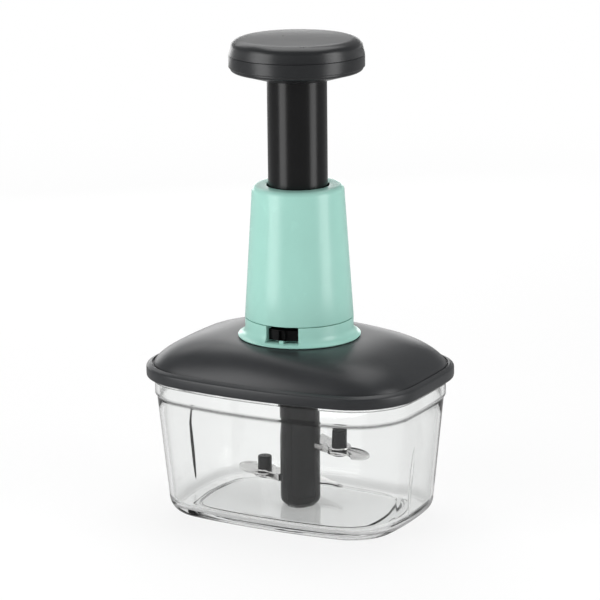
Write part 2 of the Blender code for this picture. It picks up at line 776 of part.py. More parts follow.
def build_lid_gasket(material):
    count = TURNED_POINTS
    outer = inset(LID_FORM, BAND_INSET + BOWL_WALL + GAP)
    inner = inset(LID_FORM, BAND_INSET + BOWL_WALL + GAP + GASKET_WIDTH)
    low = LINER_Z - PLUG_DEPTH + PLUG_LIP_HEIGHT + GAP
    high = LINER_Z - GAP
    rings = [
        outline_ring(outer, low, count), outline_ring(outer, high, count),
        outline_ring(inner, high, count), outline_ring(inner, low, count),
    ]
    return add_object("lid_gasket", solid_from_rings(rings, closed=True), material)


# Drive housing

def collar_profile():
    foot = COLLAR_RADIUS + COLLAR_FLARE
    flare_top = COLLAR_Z + COLLAR_FLARE_HEIGHT
    lip_inner = COLLAR_BORE - COLLAR_LIP_REACH
    lip_z = COLLAR_TOP_Z - COLLAR_LIP_HEIGHT
    spigot_outer = lip_inner + SPIGOT_WALL
    profile = [
        (ROD_JOURNAL_RADIUS + RUNNING_FIT, COLLAR_Z),
        (foot, COLLAR_Z),
        (foot, COLLAR_Z + COLLAR_EDGE),
    ]
    profile += arc_points(
        (foot, flare_top), COLLAR_FLARE, flare_top - COLLAR_Z - COLLAR_EDGE,
        COLLAR_FLARE_START, COLLAR_FLARE_END,
    )
    profile += [
        (COLLAR_RADIUS, COLLAR_TOP_Z),
        (spigot_outer, COLLAR_TOP_Z),
        (spigot_outer, SPIGOT_TOP_Z),
        (lip_inner, SPIGOT_TOP_Z),
        (lip_inner, lip_z),
        (COLLAR_BORE, lip_z),
        (COLLAR_BORE, COLLAR_FLOOR_Z),
        (HUB_RADIUS, COLLAR_FLOOR_Z),
        (HUB_RADIUS, HUB_TOP_Z),
        (ROD_JOURNAL_RADIUS + RUNNING_FIT, HUB_TOP_Z),
    ]
    return profile


def build_collar(material):
    collar = add_turned("housing_collar", collar_profile(), material)
    for number, place in enumerate(screw_places(), start=1):
        boss_top = COLLAR_FLOOR_Z + SCREW_BOSS_HEIGHT
        boss = upright(SCREW_BOSS_RADIUS, COLLAR_FLOOR_Z - COLLAR_FLOOR / 2.0, boss_top, place)
        combine(collar, add_guide(f"screw_boss_{number}", boss), "UNION")
        hole_top = DOME_ROOF_Z - GAP + SCREW_LENGTH + GAP
        hole = upright(SCREW_RADIUS + GAP, COLLAR_Z - OVERRUN, hole_top, place)
        combine(collar, add_guide(f"screw_pilot_{number}", hole), "DIFFERENCE")
    window = sector_shell(
        COLLAR_BORE - COLLAR_LIP_REACH - OVERRUN, COLLAR_RADIUS + COLLAR_FLARE + OVERRUN,
        COLLAR_FLOOR_Z, COLLAR_TOP_Z, WINDOW_START, WINDOW_END, 8,
    )
    combine(collar, add_guide("lock_window", window), "DIFFERENCE")
    pointer = radial_bar(
        COLLAR_BORE + GAP, COLLAR_BORE + GAP + POINTER_DEPTH, POINTER_WIDTH,
        COLLAR_FLOOR_Z - COLLAR_FLOOR / 2.0, COLLAR_FLOOR_Z + POINTER_HEIGHT, POINTER_ANGLE,
    )
    combine(collar, add_guide("lock_pointer", pointer), "UNION")
    return collar


def cone_outer(height):
    share = (height - CONE_Z) / (CONE_TOP_Z - CONE_TOP_ROUND - CONE_Z)
    return COLLAR_RADIUS + (CONE_TOP_RADIUS - COLLAR_RADIUS) * share


def cone_inner(height):
    return cone_outer(height) - CONE_WALL


def rail_shell(angle, clearance=0.0):
    """A guide rail inside the cone, or its slot where a clearance is given."""
    out = Vector((math.cos(angle), math.sin(angle), 0.0))
    side = Vector((-out.y, out.x, 0.0)) * (RAIL_WIDTH / 2.0 + clearance)
    rings = []
    for height in (SPIGOT_TOP_Z + GAP, BUSH_Z - GAP):
        lift = Vector((0.0, 0.0, height))
        outer = cone_inner(height) + CONE_WALL / 2.0
        inner = RAIL_REACH - clearance
        rings.append([
            out * inner - side + lift, out * outer - side + lift,
            out * outer + side + lift, out * inner + side + lift,
        ])
    return solid_from_rings(rings, closed=False)


def build_cone(material):
    hole = TUBE_RADIUS + CONE_HOLE_CLEARANCE
    round_z = CONE_TOP_Z - CONE_TOP_ROUND
    crown_z = CONE_TOP_Z - CONE_CROWN
    profile = [(cone_inner(CONE_Z), CONE_Z), (COLLAR_RADIUS, CONE_Z)]
    profile += arc_points(
        (CONE_TOP_RADIUS - CONE_TOP_ROUND, round_z), CONE_TOP_ROUND, CONE_TOP_ROUND,
        0.0, math.pi / 2.0,
    )
    profile += [
        (hole, CONE_TOP_Z),
        (hole, crown_z),
        (cone_inner(crown_z), crown_z),
    ]
    cone = add_turned("housing_cone", profile, material)
    for number, angle in enumerate((0.0, math.pi), start=1):
        combine(cone, add_guide(f"guide_rail_{number}", rail_shell(angle)), "UNION")
    return cone


def build_guide_bush(material):
    bore = TUBE_RADIUS + RUNNING_FIT
    profile = [
        (bore, BUSH_Z), (cone_inner(BUSH_Z) - GAP, BUSH_Z),
        (cone_inner(BUSH_TOP_Z) - GAP, BUSH_TOP_Z), (bore, BUSH_TOP_Z),
    ]
    return add_turned("guide_bush", profile, material)


def build_lock_ring(material):
    profile = [
        (LOCK_INNER, LOCK_Z), (LOCK_OUTER, LOCK_Z),
        (LOCK_OUTER, LOCK_TOP_Z), (LOCK_INNER, LOCK_TOP_Z),
    ]
    ring = add_turned("lock_ring", profile, material)
    rib_low = COLLAR_FLOOR_Z + POINTER_HEIGHT + GAP
    for number, angle in enumerate(LOCK_RIB_ANGLES, start=1):
        rib = radial_bar(
            LOCK_OUTER - LOCK_RING_WALL / 2.0, LOCK_OUTER + LOCK_RIB_REACH, LOCK_RIB_WIDTH,
            rib_low, LOCK_TOP_Z - GAP, angle,
        )
        combine(ring, add_guide(f"lock_rib_{number}", rib), "UNION")
    post_top = TONGUE_Z + LOCK_TONGUE_HEIGHT
    foot = radial_bar(
        LOCK_POST_INNER, LOCK_INNER + LOCK_RING_WALL / 2.0, LOCK_TONGUE_WIDTH,
        LOCK_Z + GAP, LOCK_TOP_Z - GAP, LOCK_TONGUE_ANGLE,
    )
    combine(ring, add_guide("lock_post_foot", foot), "UNION")
    post = radial_bar(
        LOCK_POST_INNER + FACE_STEP, LOCK_POST_OUTER, LOCK_TONGUE_WIDTH - GAP,
        LOCK_Z + 2.0 * GAP, post_top, LOCK_TONGUE_ANGLE,
    )
    combine(ring, add_guide("lock_post", post), "UNION")
    tongue = radial_bar(
        TUBE_RADIUS + 2.0 * RUNNING_FIT, LOCK_POST_OUTER - GAP, LOCK_TONGUE_WIDTH - 2.0 * GAP,
        TONGUE_Z, post_top - FACE_STEP, LOCK_TONGUE_ANGLE,
    )
    combine(ring, add_guide("lock_tongue", tongue), "UNION")
    return ring


# Plunger

def build_plunger_tube(material):
    profile = [
        (NUT_RADIUS + GAP, TUBE_Z),
        (FLANGE_RADIUS, TUBE_Z),
        (FLANGE_RADIUS, FLANGE_TOP_Z),
        (TUBE_RADIUS, FLANGE_TOP_Z),
        (TUBE_RADIUS, TUBE_TOP_Z),
        (TUBE_BORE, TUBE_TOP_Z),
        (TUBE_BORE, NUT_TOP_Z + GAP),
        (NUT_RADIUS + GAP, NUT_TOP_Z + GAP),
    ]
    tube = add_turned("plunger_tube", profile, material)
    low = TUBE_Z - OVERRUN
    high = FLANGE_TOP_Z + OVERRUN
    reach = FLANGE_RADIUS + OVERRUN
    for number, angle in enumerate((0.0, math.pi), start=1):
        slot = radial_bar(
            RAIL_REACH - RUNNING_FIT, reach, RAIL_WIDTH + 2.0 * RUNNING_FIT, low, high, angle,
        )
        combine(tube, add_guide(f"flange_slot_{number}", slot), "DIFFERENCE")
    notch = radial_bar(
        TUBE_RADIUS + RUNNING_FIT, reach, LOCK_TONGUE_WIDTH + 2.0 * RUNNING_FIT, low, high,
        LOCK_TONGUE_ANGLE,
    )
    combine(tube, add_guide("flange_notch", notch), "DIFFERENCE")
    return tube


def build_knob_base(material):
    bore = TUBE_RADIUS + GAP
    hub = bore + KNOB_HUB_WALL
    cavity_radius = KNOB_RADIUS - KNOB_WALL - KNOB_SNAP_WALL
    cavity_z = KNOB_Z + KNOB_DISH_RISE + KNOB_WALL
    snap_outer = KNOB_RADIUS - KNOB_WALL
    snap_z = KNOB_SEAM_Z + KNOB_SNAP_HEIGHT
    profile = [
        (hub, KNOB_PLATE_TOP_Z), (hub, cavity_z), (cavity_radius, cavity_z),
        (cavity_radius, snap_z), (snap_outer, snap_z), (snap_outer, KNOB_SEAM_Z),
        (KNOB_RADIUS, KNOB_SEAM_Z),
    ]
    profile += arc_points(
        (KNOB_DISH_RADIUS, KNOB_LIP_Z), KNOB_RADIUS - KNOB_DISH_RADIUS,
        KNOB_LIP_HEIGHT - KNOB_DISH_RISE, 0.0, -math.pi / 2.0,
    )
    profile += [
        (KNOB_SKIRT_RADIUS + (KNOB_DISH_RADIUS - KNOB_SKIRT_RADIUS) / 2.0,
         KNOB_Z + KNOB_DISH_RISE / 3.0),
        (KNOB_SKIRT_RADIUS, KNOB_Z),
        (bore, KNOB_Z),
        (bore, KNOB_PLATE_Z),
    ]
    return add_turned("knob_base", profile, material, closed=False)


def build_knob_cap(material):
    seam = KNOB_SEAM_Z + GAP
    shoulder_z = KNOB_TOP_Z - KNOB_CROWN - KNOB_SHOULDER
    shoulder = KNOB_RADIUS - KNOB_FACE_RADIUS
    inner_radius = KNOB_RADIUS - KNOB_WALL + GAP
    profile = []
    profile += reversed(arc_points(
        (KNOB_FACE_RADIUS, shoulder_z), inner_radius - KNOB_FACE_RADIUS,
        KNOB_SHOULDER - KNOB_WALL, 0.0, math.pi / 2.0,
    ))
    profile += [(inner_radius, seam), (KNOB_RADIUS, seam)]
    profile += arc_points(
        (KNOB_FACE_RADIUS, shoulder_z), shoulder, KNOB_SHOULDER, 0.0, math.pi / 2.0,
        steps=ARC_STEPS + 2,
    )
    profile.append((KNOB_FACE_RADIUS / 2.0, KNOB_TOP_Z))
    return add_turned("knob_cap", profile, material, closed=False)


# Twisted drive

def twist(height):
    return 2.0 * math.pi * (height - ROD_FLANGE_TOP_Z) / ROD_LEAD


def twist_heights(low, high):
    steps = math.ceil((high - low) / ROD_LEAD * 2.0 * math.pi / TWIST_STEP)
    return [low + (high - low) * step / steps for step in range(steps + 1)]


def build_drive_rod(material):
    count = 16
    tail_z = CUP_SCREW_TOP_Z + GAP
    hole = SCREW_RADIUS + GAP
    hole_z = CUP_SCREW_TOP_Z + CUP_SCREW_LENGTH + GAP
    journal_z = RATCHET_TOP_Z + GAP
    rings = [
        circle_ring(hole, hole_z, count),
        circle_ring(hole, tail_z, count),
        circle_ring(ROD_TAIL_RADIUS, tail_z, count),
        circle_ring(ROD_TAIL_RADIUS, CUP_CHAMBER_Z, count),
        square_ring(ROD_END_FLAT / 2.0, CUP_CHAMBER_Z + FACE_STEP, 0.0, count),
        square_ring(ROD_END_FLAT / 2.0, journal_z, 0.0, count),
        circle_ring(ROD_JOURNAL_RADIUS, journal_z + FACE_STEP, count),
        circle_ring(ROD_JOURNAL_RADIUS, ROD_FLANGE_Z, count),
        circle_ring(ROD_FLANGE_RADIUS, ROD_FLANGE_Z, count),
        circle_ring(ROD_FLANGE_RADIUS, ROD_FLANGE_TOP_Z, count),
    ]
    for height in twist_heights(ROD_FLANGE_TOP_Z, ROD_TWIST_TOP_Z):
        rings.append(square_ring(ROD_FLAT / 2.0, height, twist(height), count))
    top_turn = twist(ROD_TWIST_TOP_Z)
    rings.append(turned_circle(ROD_TIP_RADIUS, ROD_TWIST_TOP_Z, top_turn, count))
    rings.append(turned_circle(ROD_TIP_RADIUS, ROD_TWIST_TOP_Z + ROD_TIP_HEIGHT, top_turn, count))
    return add_object("drive_rod", solid_from_rings(rings, closed=False), material)


def build_drive_nut(material):
    count = SMALL_POINTS
    heights = twist_heights(NUT_Z, NUT_TOP_Z)
    bore = ROD_FLAT / 2.0 + RUNNING_FIT
    rings = [turned_circle(NUT_RADIUS, height, twist(height), count) for height in heights]
    rings += [square_ring(bore, height, twist(height), count) for height in reversed(heights)]
    return add_object("drive_nut", solid_from_rings(rings, closed=True), material)


def build_spring_seat(material):
    bore = ROD_TIP_RADIUS + GAP
    spigot_top = SEAT_TOP_Z + SEAT_SPIGOT_HEIGHT
    profile = [
        (bore, SEAT_Z), (SEAT_RADIUS, SEAT_Z), (SEAT_RADIUS, SEAT_TOP_Z),
        (SEAT_SPIGOT_RADIUS, SEAT_TOP_Z), (SEAT_SPIGOT_RADIUS, spigot_top), (bore, spigot_top),
    ]
    return add_turned("spring_seat", profile, material, count=BEARING_POINTS)


def build_return_spring(material):
    low = SEAT_TOP_Z + GAP + SPRING_WIRE / 2.0
    high = KNOB_PLATE_Z - GAP - SPRING_WIRE / 2.0
    count = SPRING_TURNS * SPRING_POINTS_PER_TURN
    curve = bpy.data.curves.new("return_spring", "CURVE")
    curve.dimensions = "3D"
    curve.bevel_depth = SPRING_WIRE / 2.0
    curve.bevel_resolution = 1
    curve.use_fill_caps = True
    spline = curve.splines.new("POLY")
    spline.points.add(count)
    for index, point in enumerate(spline.points):
        angle = 2.0 * math.pi * index / SPRING_POINTS_PER_TURN
        height = low + (high - low) * index / count
        point.co = (SPRING_RADIUS * math.cos(angle), SPRING_RADIUS * math.sin(angle), height, 1.0)
    curve.materials.append(material)
    spring = bpy.data.objects.new("return_spring", curve)
    bpy.context.scene.collection.objects.link(spring)
    return spring


# Ratchet and cup

def ratchet_ring(height):
    """Saw teeth: each flank falls slowly from its tip, then drops to the next."""
    pitch = 2.0 * math.pi / RATCHET_TEETH
    ring = []
    for tooth in range(RATCHET_TEETH):
        for share in TOOTH_SHARES:
            angle = pitch * (tooth + share)
            reach = RATCHET_RADIUS - RATCHET_TOOTH * share
            ring.append(Vector((reach * math.cos(angle), reach * math.sin(angle), height)))
    return ring


def build_ratchet_wheel(material):
    count = RATCHET_TEETH * len(TOOTH_SHARES)
    flat = ROD_END_FLAT / 2.0 + GAP / 2.0
    rings = [
        ratchet_ring(RATCHET_Z), ratchet_ring(RATCHET_TOP_Z),
        square_ring(flat, RATCHET_TOP_Z, 0.0, count), square_ring(flat, RATCHET_Z, 0.0, count),
    ]
    return add_object("ratchet_wheel", solid_from_rings(rings, closed=True), material)


def build_drive_cup(material):
    count = TURNED_POINTS
    socket = HEAD_FLAT / 2.0 + RUNNING_FIT
    web_hole = ROD_TAIL_RADIUS + RUNNING_FIT
    rings = [
        circle_ring(CUP_RADIUS, CUP_Z, count),
        circle_ring(CUP_RADIUS, CUP_TOP_Z, count),
        circle_ring(CUP_CHAMBER_RADIUS, CUP_TOP_Z, count),
        circle_ring(CUP_CHAMBER_RADIUS, CUP_CHAMBER_Z, count),
        circle_ring(web_hole, CUP_CHAMBER_Z, count),
        circle_ring(web_hole, CUP_WEB_Z, count),
        hexagon_ring(socket, CUP_WEB_Z, count),
        hexagon_ring(socket, CUP_Z, count),
    ]
    cup = add_object("drive_cup", solid_from_rings(rings, closed=True), material)
    for number in range(PAWL_COUNT):
        angle = 2.0 * math.pi * number / PAWL_COUNT + math.pi / RATCHET_TEETH
        pawl = radial_bar(
            RATCHET_RADIUS + GAP, CUP_CHAMBER_RADIUS + CUP_WALL / 2.0, PAWL_WIDTH,
            CUP_CHAMBER_Z - CUP_WEB / 2.0, RATCHET_TOP_Z, angle,
        )
        combine(cup, add_guide(f"pawl_{number + 1}", pawl), "UNION")
    return cup


def screw_profile(head_radius, head_height, seat_z, length):
    return [
        (head_radius, seat_z - head_height),
        (head_radius, seat_z),
        (SCREW_RADIUS, seat_z),
        (SCREW_RADIUS, seat_z + length),
    ]


def build_screws(material):
    seat = DOME_ROOF_Z - GAP
    profile = screw_profile(SCREW_HEAD_RADIUS, SCREW_HEAD_HEIGHT, seat, SCREW_LENGTH)
    for number, place in enumerate(screw_places(), start=1):
        screw = add_turned(f"collar_screw_{number}", profile, material, closed=False, count=SCREW_POINTS)
        screw.location = (place[0], place[1], 0.0)
    cup_profile = screw_profile(
        CUP_SCREW_HEAD_RADIUS, CUP_SCREW_HEAD_HEIGHT, CUP_SCREW_TOP_Z, CUP_SCREW_LENGTH,
    )
    add_turned("cup_screw", cup_profile, material, closed=False, count=SCREW_POINTS)


# Blade column

def strap_slot(level, angle, name):
    """Pocket in the column that takes a strap's root."""
    half = LEAF_SPACING / 2.0 + STEEL / 2.0 + GAP
    shell = radial_bar(
        STRAP_ROOT - GAP, COLUMN_RADIUS + OVERRUN, STRAP_WIDTH + 2.0 * GAP,
        level - half, level + half, angle, STRAP_SWEEP,
    )
    return add_guide(name, shell)


def build_column(material, slots):
    profile = [
        (COLUMN_SEAT_BORE, COLUMN_Z),
        (COLUMN_FOOT_RADIUS, COLUMN_Z),
        (COLUMN_RADIUS, COLUMN_Z + COLUMN_FOOT_HEIGHT),
        (COLUMN_RADIUS, COLUMN_TOP_Z),
        (COLUMN_BORE, COLUMN_TOP_Z),
        (COLUMN_BORE, BUSHING_TOP_Z + GAP),
        (COLUMN_SEAT_BORE, BUSHING_TOP_Z + GAP),
    ]
    column = add_turned("blade_column", profile, material)
    recess = sector_shell(
        COLUMN_RADIUS - COVER_THICKNESS - GAP, COLUMN_RADIUS + OVERRUN,
        COVER_BOTTOM - GAP, COVER_TOP + GAP,
        COVER_START - GAP / COLUMN_RADIUS, COVER_END + GAP / COLUMN_RADIUS, COVER_STEPS,
    )
    combine(column, add_guide("cover_recess", recess), "DIFFERENCE")
    for slot in slots:
        combine(column, slot, "DIFFERENCE")
    return column


def build_cover(material, slot):
    shell = sector_shell(
        COLUMN_RADIUS - COVER_THICKNESS, COLUMN_RADIUS, COVER_BOTTOM, COVER_TOP,
        COVER_START, COVER_END, COVER_STEPS,
    )
    cover = add_object("column_cover", shell, material)
    combine(cover, slot, "DIFFERENCE")
    return cover


def build_column_bush(material):
    outer = COLUMN_SEAT_BORE - GAP
    bore = PIN_RADIUS + RUNNING_FIT
    profile = [(bore, BUSHING_Z), (outer, BUSHING_Z), (outer, BUSHING_TOP_Z), (bore, BUSHING_TOP_Z)]
    return add_turned("column_bush", profile, material, count=BEARING_POINTS)


def build_column_head(material):
    count = 24
    spigot = COLUMN_BORE - GAP
    rings = [
        circle_ring(spigot, HEAD_Z - HEAD_SPIGOT_DEPTH, count),
        circle_ring(spigot, HEAD_Z, count),
        hexagon_ring(HEAD_FLAT / 2.0, HEAD_Z, count),
        hexagon_ring(HEAD_FLAT / 2.0, HEAD_TOP_Z - POST_EDGE, count),
        hexagon_ring(HEAD_FLAT / 2.0 - POST_EDGE, HEAD_TOP_Z, count),
    ]
    return add_object("column_head", solid_from_rings(rings, closed=False), material)


def strap_outline(post_reach):
    """Outline of one leaf: straight sides, then a round end about the post."""
    half = STRAP_WIDTH / 2.0
    meet = math.asin(half / STRAP_END_RADIUS)
    outline = [(STRAP_ROOT, STRAP_SWEEP - half)]
    for step in range(STRAP_END_STEPS + 1):
        angle = -math.pi + meet + 2.0 * (math.pi - meet) * step / STRAP_END_STEPS
        outline.append((post_reach + STRAP_END_RADIUS * math.cos(angle),
                        STRAP_SWEEP + STRAP_END_RADIUS * math.sin(angle)))
    outline.append((STRAP_ROOT, STRAP_SWEEP + half))
    return outline


def build_strap(name, material, level, angle, post_reach):
    """Two leaves joined by a web at the root, and bored for the post."""
    half = LEAF_SPACING / 2.0
    low = level - half - STEEL / 2.0
    high = level + half + STEEL / 2.0
    shell = plate_shell(strap_outline(post_reach), low, high)
    strap = add_object(name, shell, material)
    throat = radial_bar(
        STRAP_ROOT + STEEL, post_reach + STRAP_END_RADIUS + OVERRUN,
        2.0 * STRAP_END_RADIUS + 2.0 * OVERRUN, level - half + STEEL / 2.0,
        level + half - STEEL / 2.0, 0.0, STRAP_SWEEP,
    )
    bore = upright(POST_RADIUS + GAP, low - OVERRUN, high + OVERRUN, (post_reach, STRAP_SWEEP))
    for kind, cutter in (("throat", throat), ("bore", bore)):
        guide = add_guide(f"{name}_{kind}", cutter)
        guide.rotation_euler = (0.0, 0.0, angle)
        combine(strap, guide, "DIFFERENCE")
    strap.rotation_euler = (0.0, 0.0, angle)
    return strap


def post_centre(reach, angle):
    """Where a post stands: out along its strap, which is set to one side of the column."""
    out = Vector((math.cos(angle), math.sin(angle), 0.0))
    return out * reach + Vector((-out.y, out.x, 0.0)) * STRAP_SWEEP


def build_post(name, material, level, angle, reach):
    low = level - LEAF_SPACING / 2.0 - STEEL / 2.0 - POST_BELOW
    high = level + LEAF_SPACING / 2.0 + STEEL / 2.0 + POST_ABOVE
    profile = [
        (POST_RADIUS - POST_EDGE, low), (POST_RADIUS, low + POST_EDGE),
        (POST_RADIUS, high - POST_EDGE), (POST_RADIUS - POST_EDGE, high),
    ]
    post = add_turned(name, profile, material, closed=False, count=SMALL_POINTS)
    post.location = post_centre(reach, angle)
    return post


def swing_outline(length):
    """Outline of a swing blade about its pivot: round heel, notched back, curved edge."""
    paddle = [(length * u, BLADE_WIDTH * v) for u, v in SWING_BLADE_SHARES]
    heel = []
    for step in range(HEEL_STEPS + 1):
        angle = HEEL_START + HEEL_SWEEP * step / HEEL_STEPS
        heel.append((BLADE_HEEL_RADIUS * math.cos(angle), BLADE_HEEL_RADIUS * math.sin(angle)))
    return smooth_closed(paddle + heel, BLADE_CURVE_STEPS)


def build_swing_blade(name, material, level, angle, reach, blade_angle, length):
    low = level - LEAF_SPACING / 2.0 + STEEL / 2.0 + GAP
    high = low + STEEL
    shell = plate_shell(swing_outline(length), low, high)
    blade = add_object(name, shell, material)
    blade.location = post_centre(reach, angle)
    blade.rotation_euler = (0.0, 0.0, blade_angle)
    bore = upright(POST_RADIUS + RUNNING_FIT, low - OVERRUN, high + OVERRUN, (0.0, 0.0))
    guide = add_guide(f"{name}_bore", bore)
    guide.location = blade.location
    combine(blade, guide, "DIFFERENCE")
    return blade


def floor_blade_slot():
    shell = radial_bar(
        COLUMN_SEAT_BORE - OVERRUN, COLUMN_RADIUS + OVERRUN, FLOOR_BLADE_ROOT_WIDTH + 2.0 * GAP,
        FLOOR_BLADE_LEVEL - STEEL / 2.0 - GAP, FLOOR_BLADE_LEVEL + STEEL / 2.0 + GAP,
        FLOOR_BLADE_ANGLE,
    )
    return add_guide("floor_blade_slot", shell)


def build_floor_blade(material):
    half = FLOOR_BLADE_ROOT_WIDTH / 2.0
    root = COLUMN_SEAT_BORE + GAP
    shoulder = COLUMN_RADIUS + GAP
    sickle = [
        (FLOOR_BLADE_REACH * share * math.cos(turn), FLOOR_BLADE_REACH * share * math.sin(turn))
        for turn, share in FLOOR_BLADE_SHARES
    ]
    outline = [(root, -half), (shoulder, -half)] + sickle + [(shoulder, half), (root, half)]
    shell = plate_shell(
        outline, FLOOR_BLADE_LEVEL - STEEL / 2.0, FLOOR_BLADE_LEVEL + STEEL / 2.0,
    )
    blade = add_object("floor_blade", shell, material)
    blade.rotation_euler = (0.0, 0.0, FLOOR_BLADE_ANGLE)
    return blade


def build_blade_set(black, steel, bush_plastic):
    lower_slot = strap_slot(LOWER_LEVEL, LOWER_STRAP_ANGLE, "lower_strap_slot")
    upper_slot = strap_slot(UPPER_LEVEL, UPPER_STRAP_ANGLE, "upper_strap_slot")
    build_column(black, (lower_slot, upper_slot, floor_blade_slot()))
    build_cover(black, upper_slot)
    build_column_bush(bush_plastic)
    build_column_head(black)
    build_floor_blade(steel)
    sets = (
        ("lower", LOWER_LEVEL, LOWER_STRAP_ANGLE, LOWER_POST_REACH,
         LOWER_BLADE_ANGLE, LOWER_BLADE_LENGTH),
        ("upper", UPPER_LEVEL, UPPER_STRAP_ANGLE, UPPER_POST_REACH,
         UPPER_BLADE_ANGLE, UPPER_BLADE_LENGTH),
    )
    for side, level, angle, reach, blade_angle, length in sets:
        build_strap(f"{side}_arm", steel, level, angle, reach)
        build_post(f"{side}_pivot_post", black, level, angle, reach)
        build_swing_blade(f"{side}_swing_blade", steel, level, angle, reach, blade_angle, length)


def main():
    clear_scene()
    clear_plastic = make_material("clear_plastic", (0.92, 0.94, 0.94), 0.05, alpha=0.3)
    charcoal = make_material("charcoal_plastic", (0.035, 0.037, 0.040), 0.42)
    black = make_material("black_plastic", (0.018, 0.018, 0.019), 0.35)
    mint = make_material("mint_plastic", (0.376, 0.665, 0.558), 0.38)
    steel = make_material("blade_steel", (0.62, 0.62, 0.61), 0.28, metallic=1.0)
    zinc = make_material("zinc_steel", (0.55, 0.56, 0.58), 0.40, metallic=1.0)
    silicone = make_material("white_silicone", (0.80, 0.80, 0.79), 0.60)
    natural = make_material("natural_plastic", (0.72, 0.71, 0.67), 0.45)

    build_bowl(clear_plastic)
    build_bowl_pin(steel)
    build_blade_set(black, steel, natural)
    build_lid_shell(charcoal)
    build_lid_liner(charcoal)
    build_lid_gasket(silicone)
    build_collar(mint)
    build_cone(mint)
    build_guide_bush(black)
    build_lock_ring(black)
    build_plunger_tube(black)
    build_knob_base(charcoal)
    build_knob_cap(charcoal)
    build_drive_rod(steel)
    build_drive_nut(natural)
    build_spring_seat(natural)
    build_return_spring(zinc)
    build_ratchet_wheel(natural)
    build_drive_cup(charcoal)
    build_screws(zinc)


main()
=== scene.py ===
"""Looks for the hand-press food chopper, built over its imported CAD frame."""

import math

import bmesh
import bpy
from bpy.props import FloatProperty, FloatVectorProperty, PointerProperty
from mathutils import Matrix, Vector


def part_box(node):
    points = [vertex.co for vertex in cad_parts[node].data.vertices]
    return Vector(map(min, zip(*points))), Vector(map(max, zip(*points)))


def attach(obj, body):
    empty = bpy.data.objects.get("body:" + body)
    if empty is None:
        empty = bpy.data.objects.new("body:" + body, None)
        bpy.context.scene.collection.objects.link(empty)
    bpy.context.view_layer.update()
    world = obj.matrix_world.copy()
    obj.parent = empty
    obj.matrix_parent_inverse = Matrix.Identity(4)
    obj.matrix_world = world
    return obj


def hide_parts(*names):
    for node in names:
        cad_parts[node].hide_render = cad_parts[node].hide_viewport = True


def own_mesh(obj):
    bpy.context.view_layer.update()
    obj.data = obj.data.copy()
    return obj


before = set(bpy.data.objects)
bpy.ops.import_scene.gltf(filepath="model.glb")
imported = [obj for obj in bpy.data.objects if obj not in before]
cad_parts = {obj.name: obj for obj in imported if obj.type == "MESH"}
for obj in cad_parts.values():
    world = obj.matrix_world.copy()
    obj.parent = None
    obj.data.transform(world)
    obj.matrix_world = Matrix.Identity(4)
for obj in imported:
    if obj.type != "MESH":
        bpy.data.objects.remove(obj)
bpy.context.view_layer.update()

bl_info = {
    "name": "Hand-press chopper looks",
    "version": (1, 0, 0),
    "blender": (4, 5, 0),
    "location": "View3D > Sidebar > Chopper",
    "description": "Builds the visible pieces and finishes of a hand-press food chopper",
    "category": "Object",
}

# Sizes read from the frame
RIM_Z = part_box("container")[1].z
LID_LOW, LID_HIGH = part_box("lid_shell")
COLLAR_LOW, COLLAR_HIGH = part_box("housing_collar")
CONE_LOW, CONE_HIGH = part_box("housing_cone")
TUBE_LOW, TUBE_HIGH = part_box("plunger_tube")
BASE_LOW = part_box("knob_base")[0]
CAP_LOW, CAP_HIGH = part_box("knob_cap")
COLUMN_LOW, COLUMN_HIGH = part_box("blade_column")
COVER_LOW, COVER_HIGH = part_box("column_cover")

# Shared by all pieces: play between pieces, steps, limits, and the lift while loops are joined
GAP = 0.0003
TURNED_STEPS = 128
SMALL_STEPS = 48
SHARP = 35.0
QUARTER_STEPS = 10
BRIDGE_LIFT = 0.5
EDGE_SEGMENTS, EDGE_ANGLE = 3, 40.0
SAME_PLACE = 1e-7
LEVEL = 1e-6
CORNER_REACH, CORNER_ANGLE = 0.0005, 0.8
RIGHT_ANGLE = math.pi / 2.0
FULL_TURN = 2.0 * math.pi

# Points on each arc of a bowed outline: long side, corner, end
BOW_STEPS, CORNER_STEPS, END_STEPS = 12, 14, 8
OUTLINE_POINTS = 4 * CORNER_STEPS + 2 * BOW_STEPS + 2 * END_STEPS

# Bowed outlines: half length, half width, long bow, short bow, corner radius
LID_OUTLINE = (0.0751, 0.0551, 0.0096, 0.0030, 0.0345)
FOOT_OUTLINE = (0.0653, 0.0432, 0.0056, 0.0053, 0.0230)
RING_OUTLINE = (0.0500, 0.0345, 0.0050, 0.0050, 0.0200)

# Bowl
BOWL_SHARP = 50.0
WALL = 0.0022
BAND_INSET = 0.0040
LEDGE_STEP = 0.0009
LEDGE_Z = 0.0612
LEDGE_ROUND, LEDGE_INNER_ROUND = 0.0004, 0.0012
BAND_Z = 0.0621
FOOT_ROUND_Z = 0.0080
FOOT_ROUND = 0.0030
FOOT_END_ROUND = 0.0060
FLOOR_Z = 0.0030
FLOOR_ROUND = 0.0055
FLOOR_MEET = 0.0006
BOSS_Z = 0.0088
WALL_HEIGHTS = (0.0086, 0.0160, 0.0250, 0.0340, 0.0430, 0.0520, 0.0594, 0.0600)

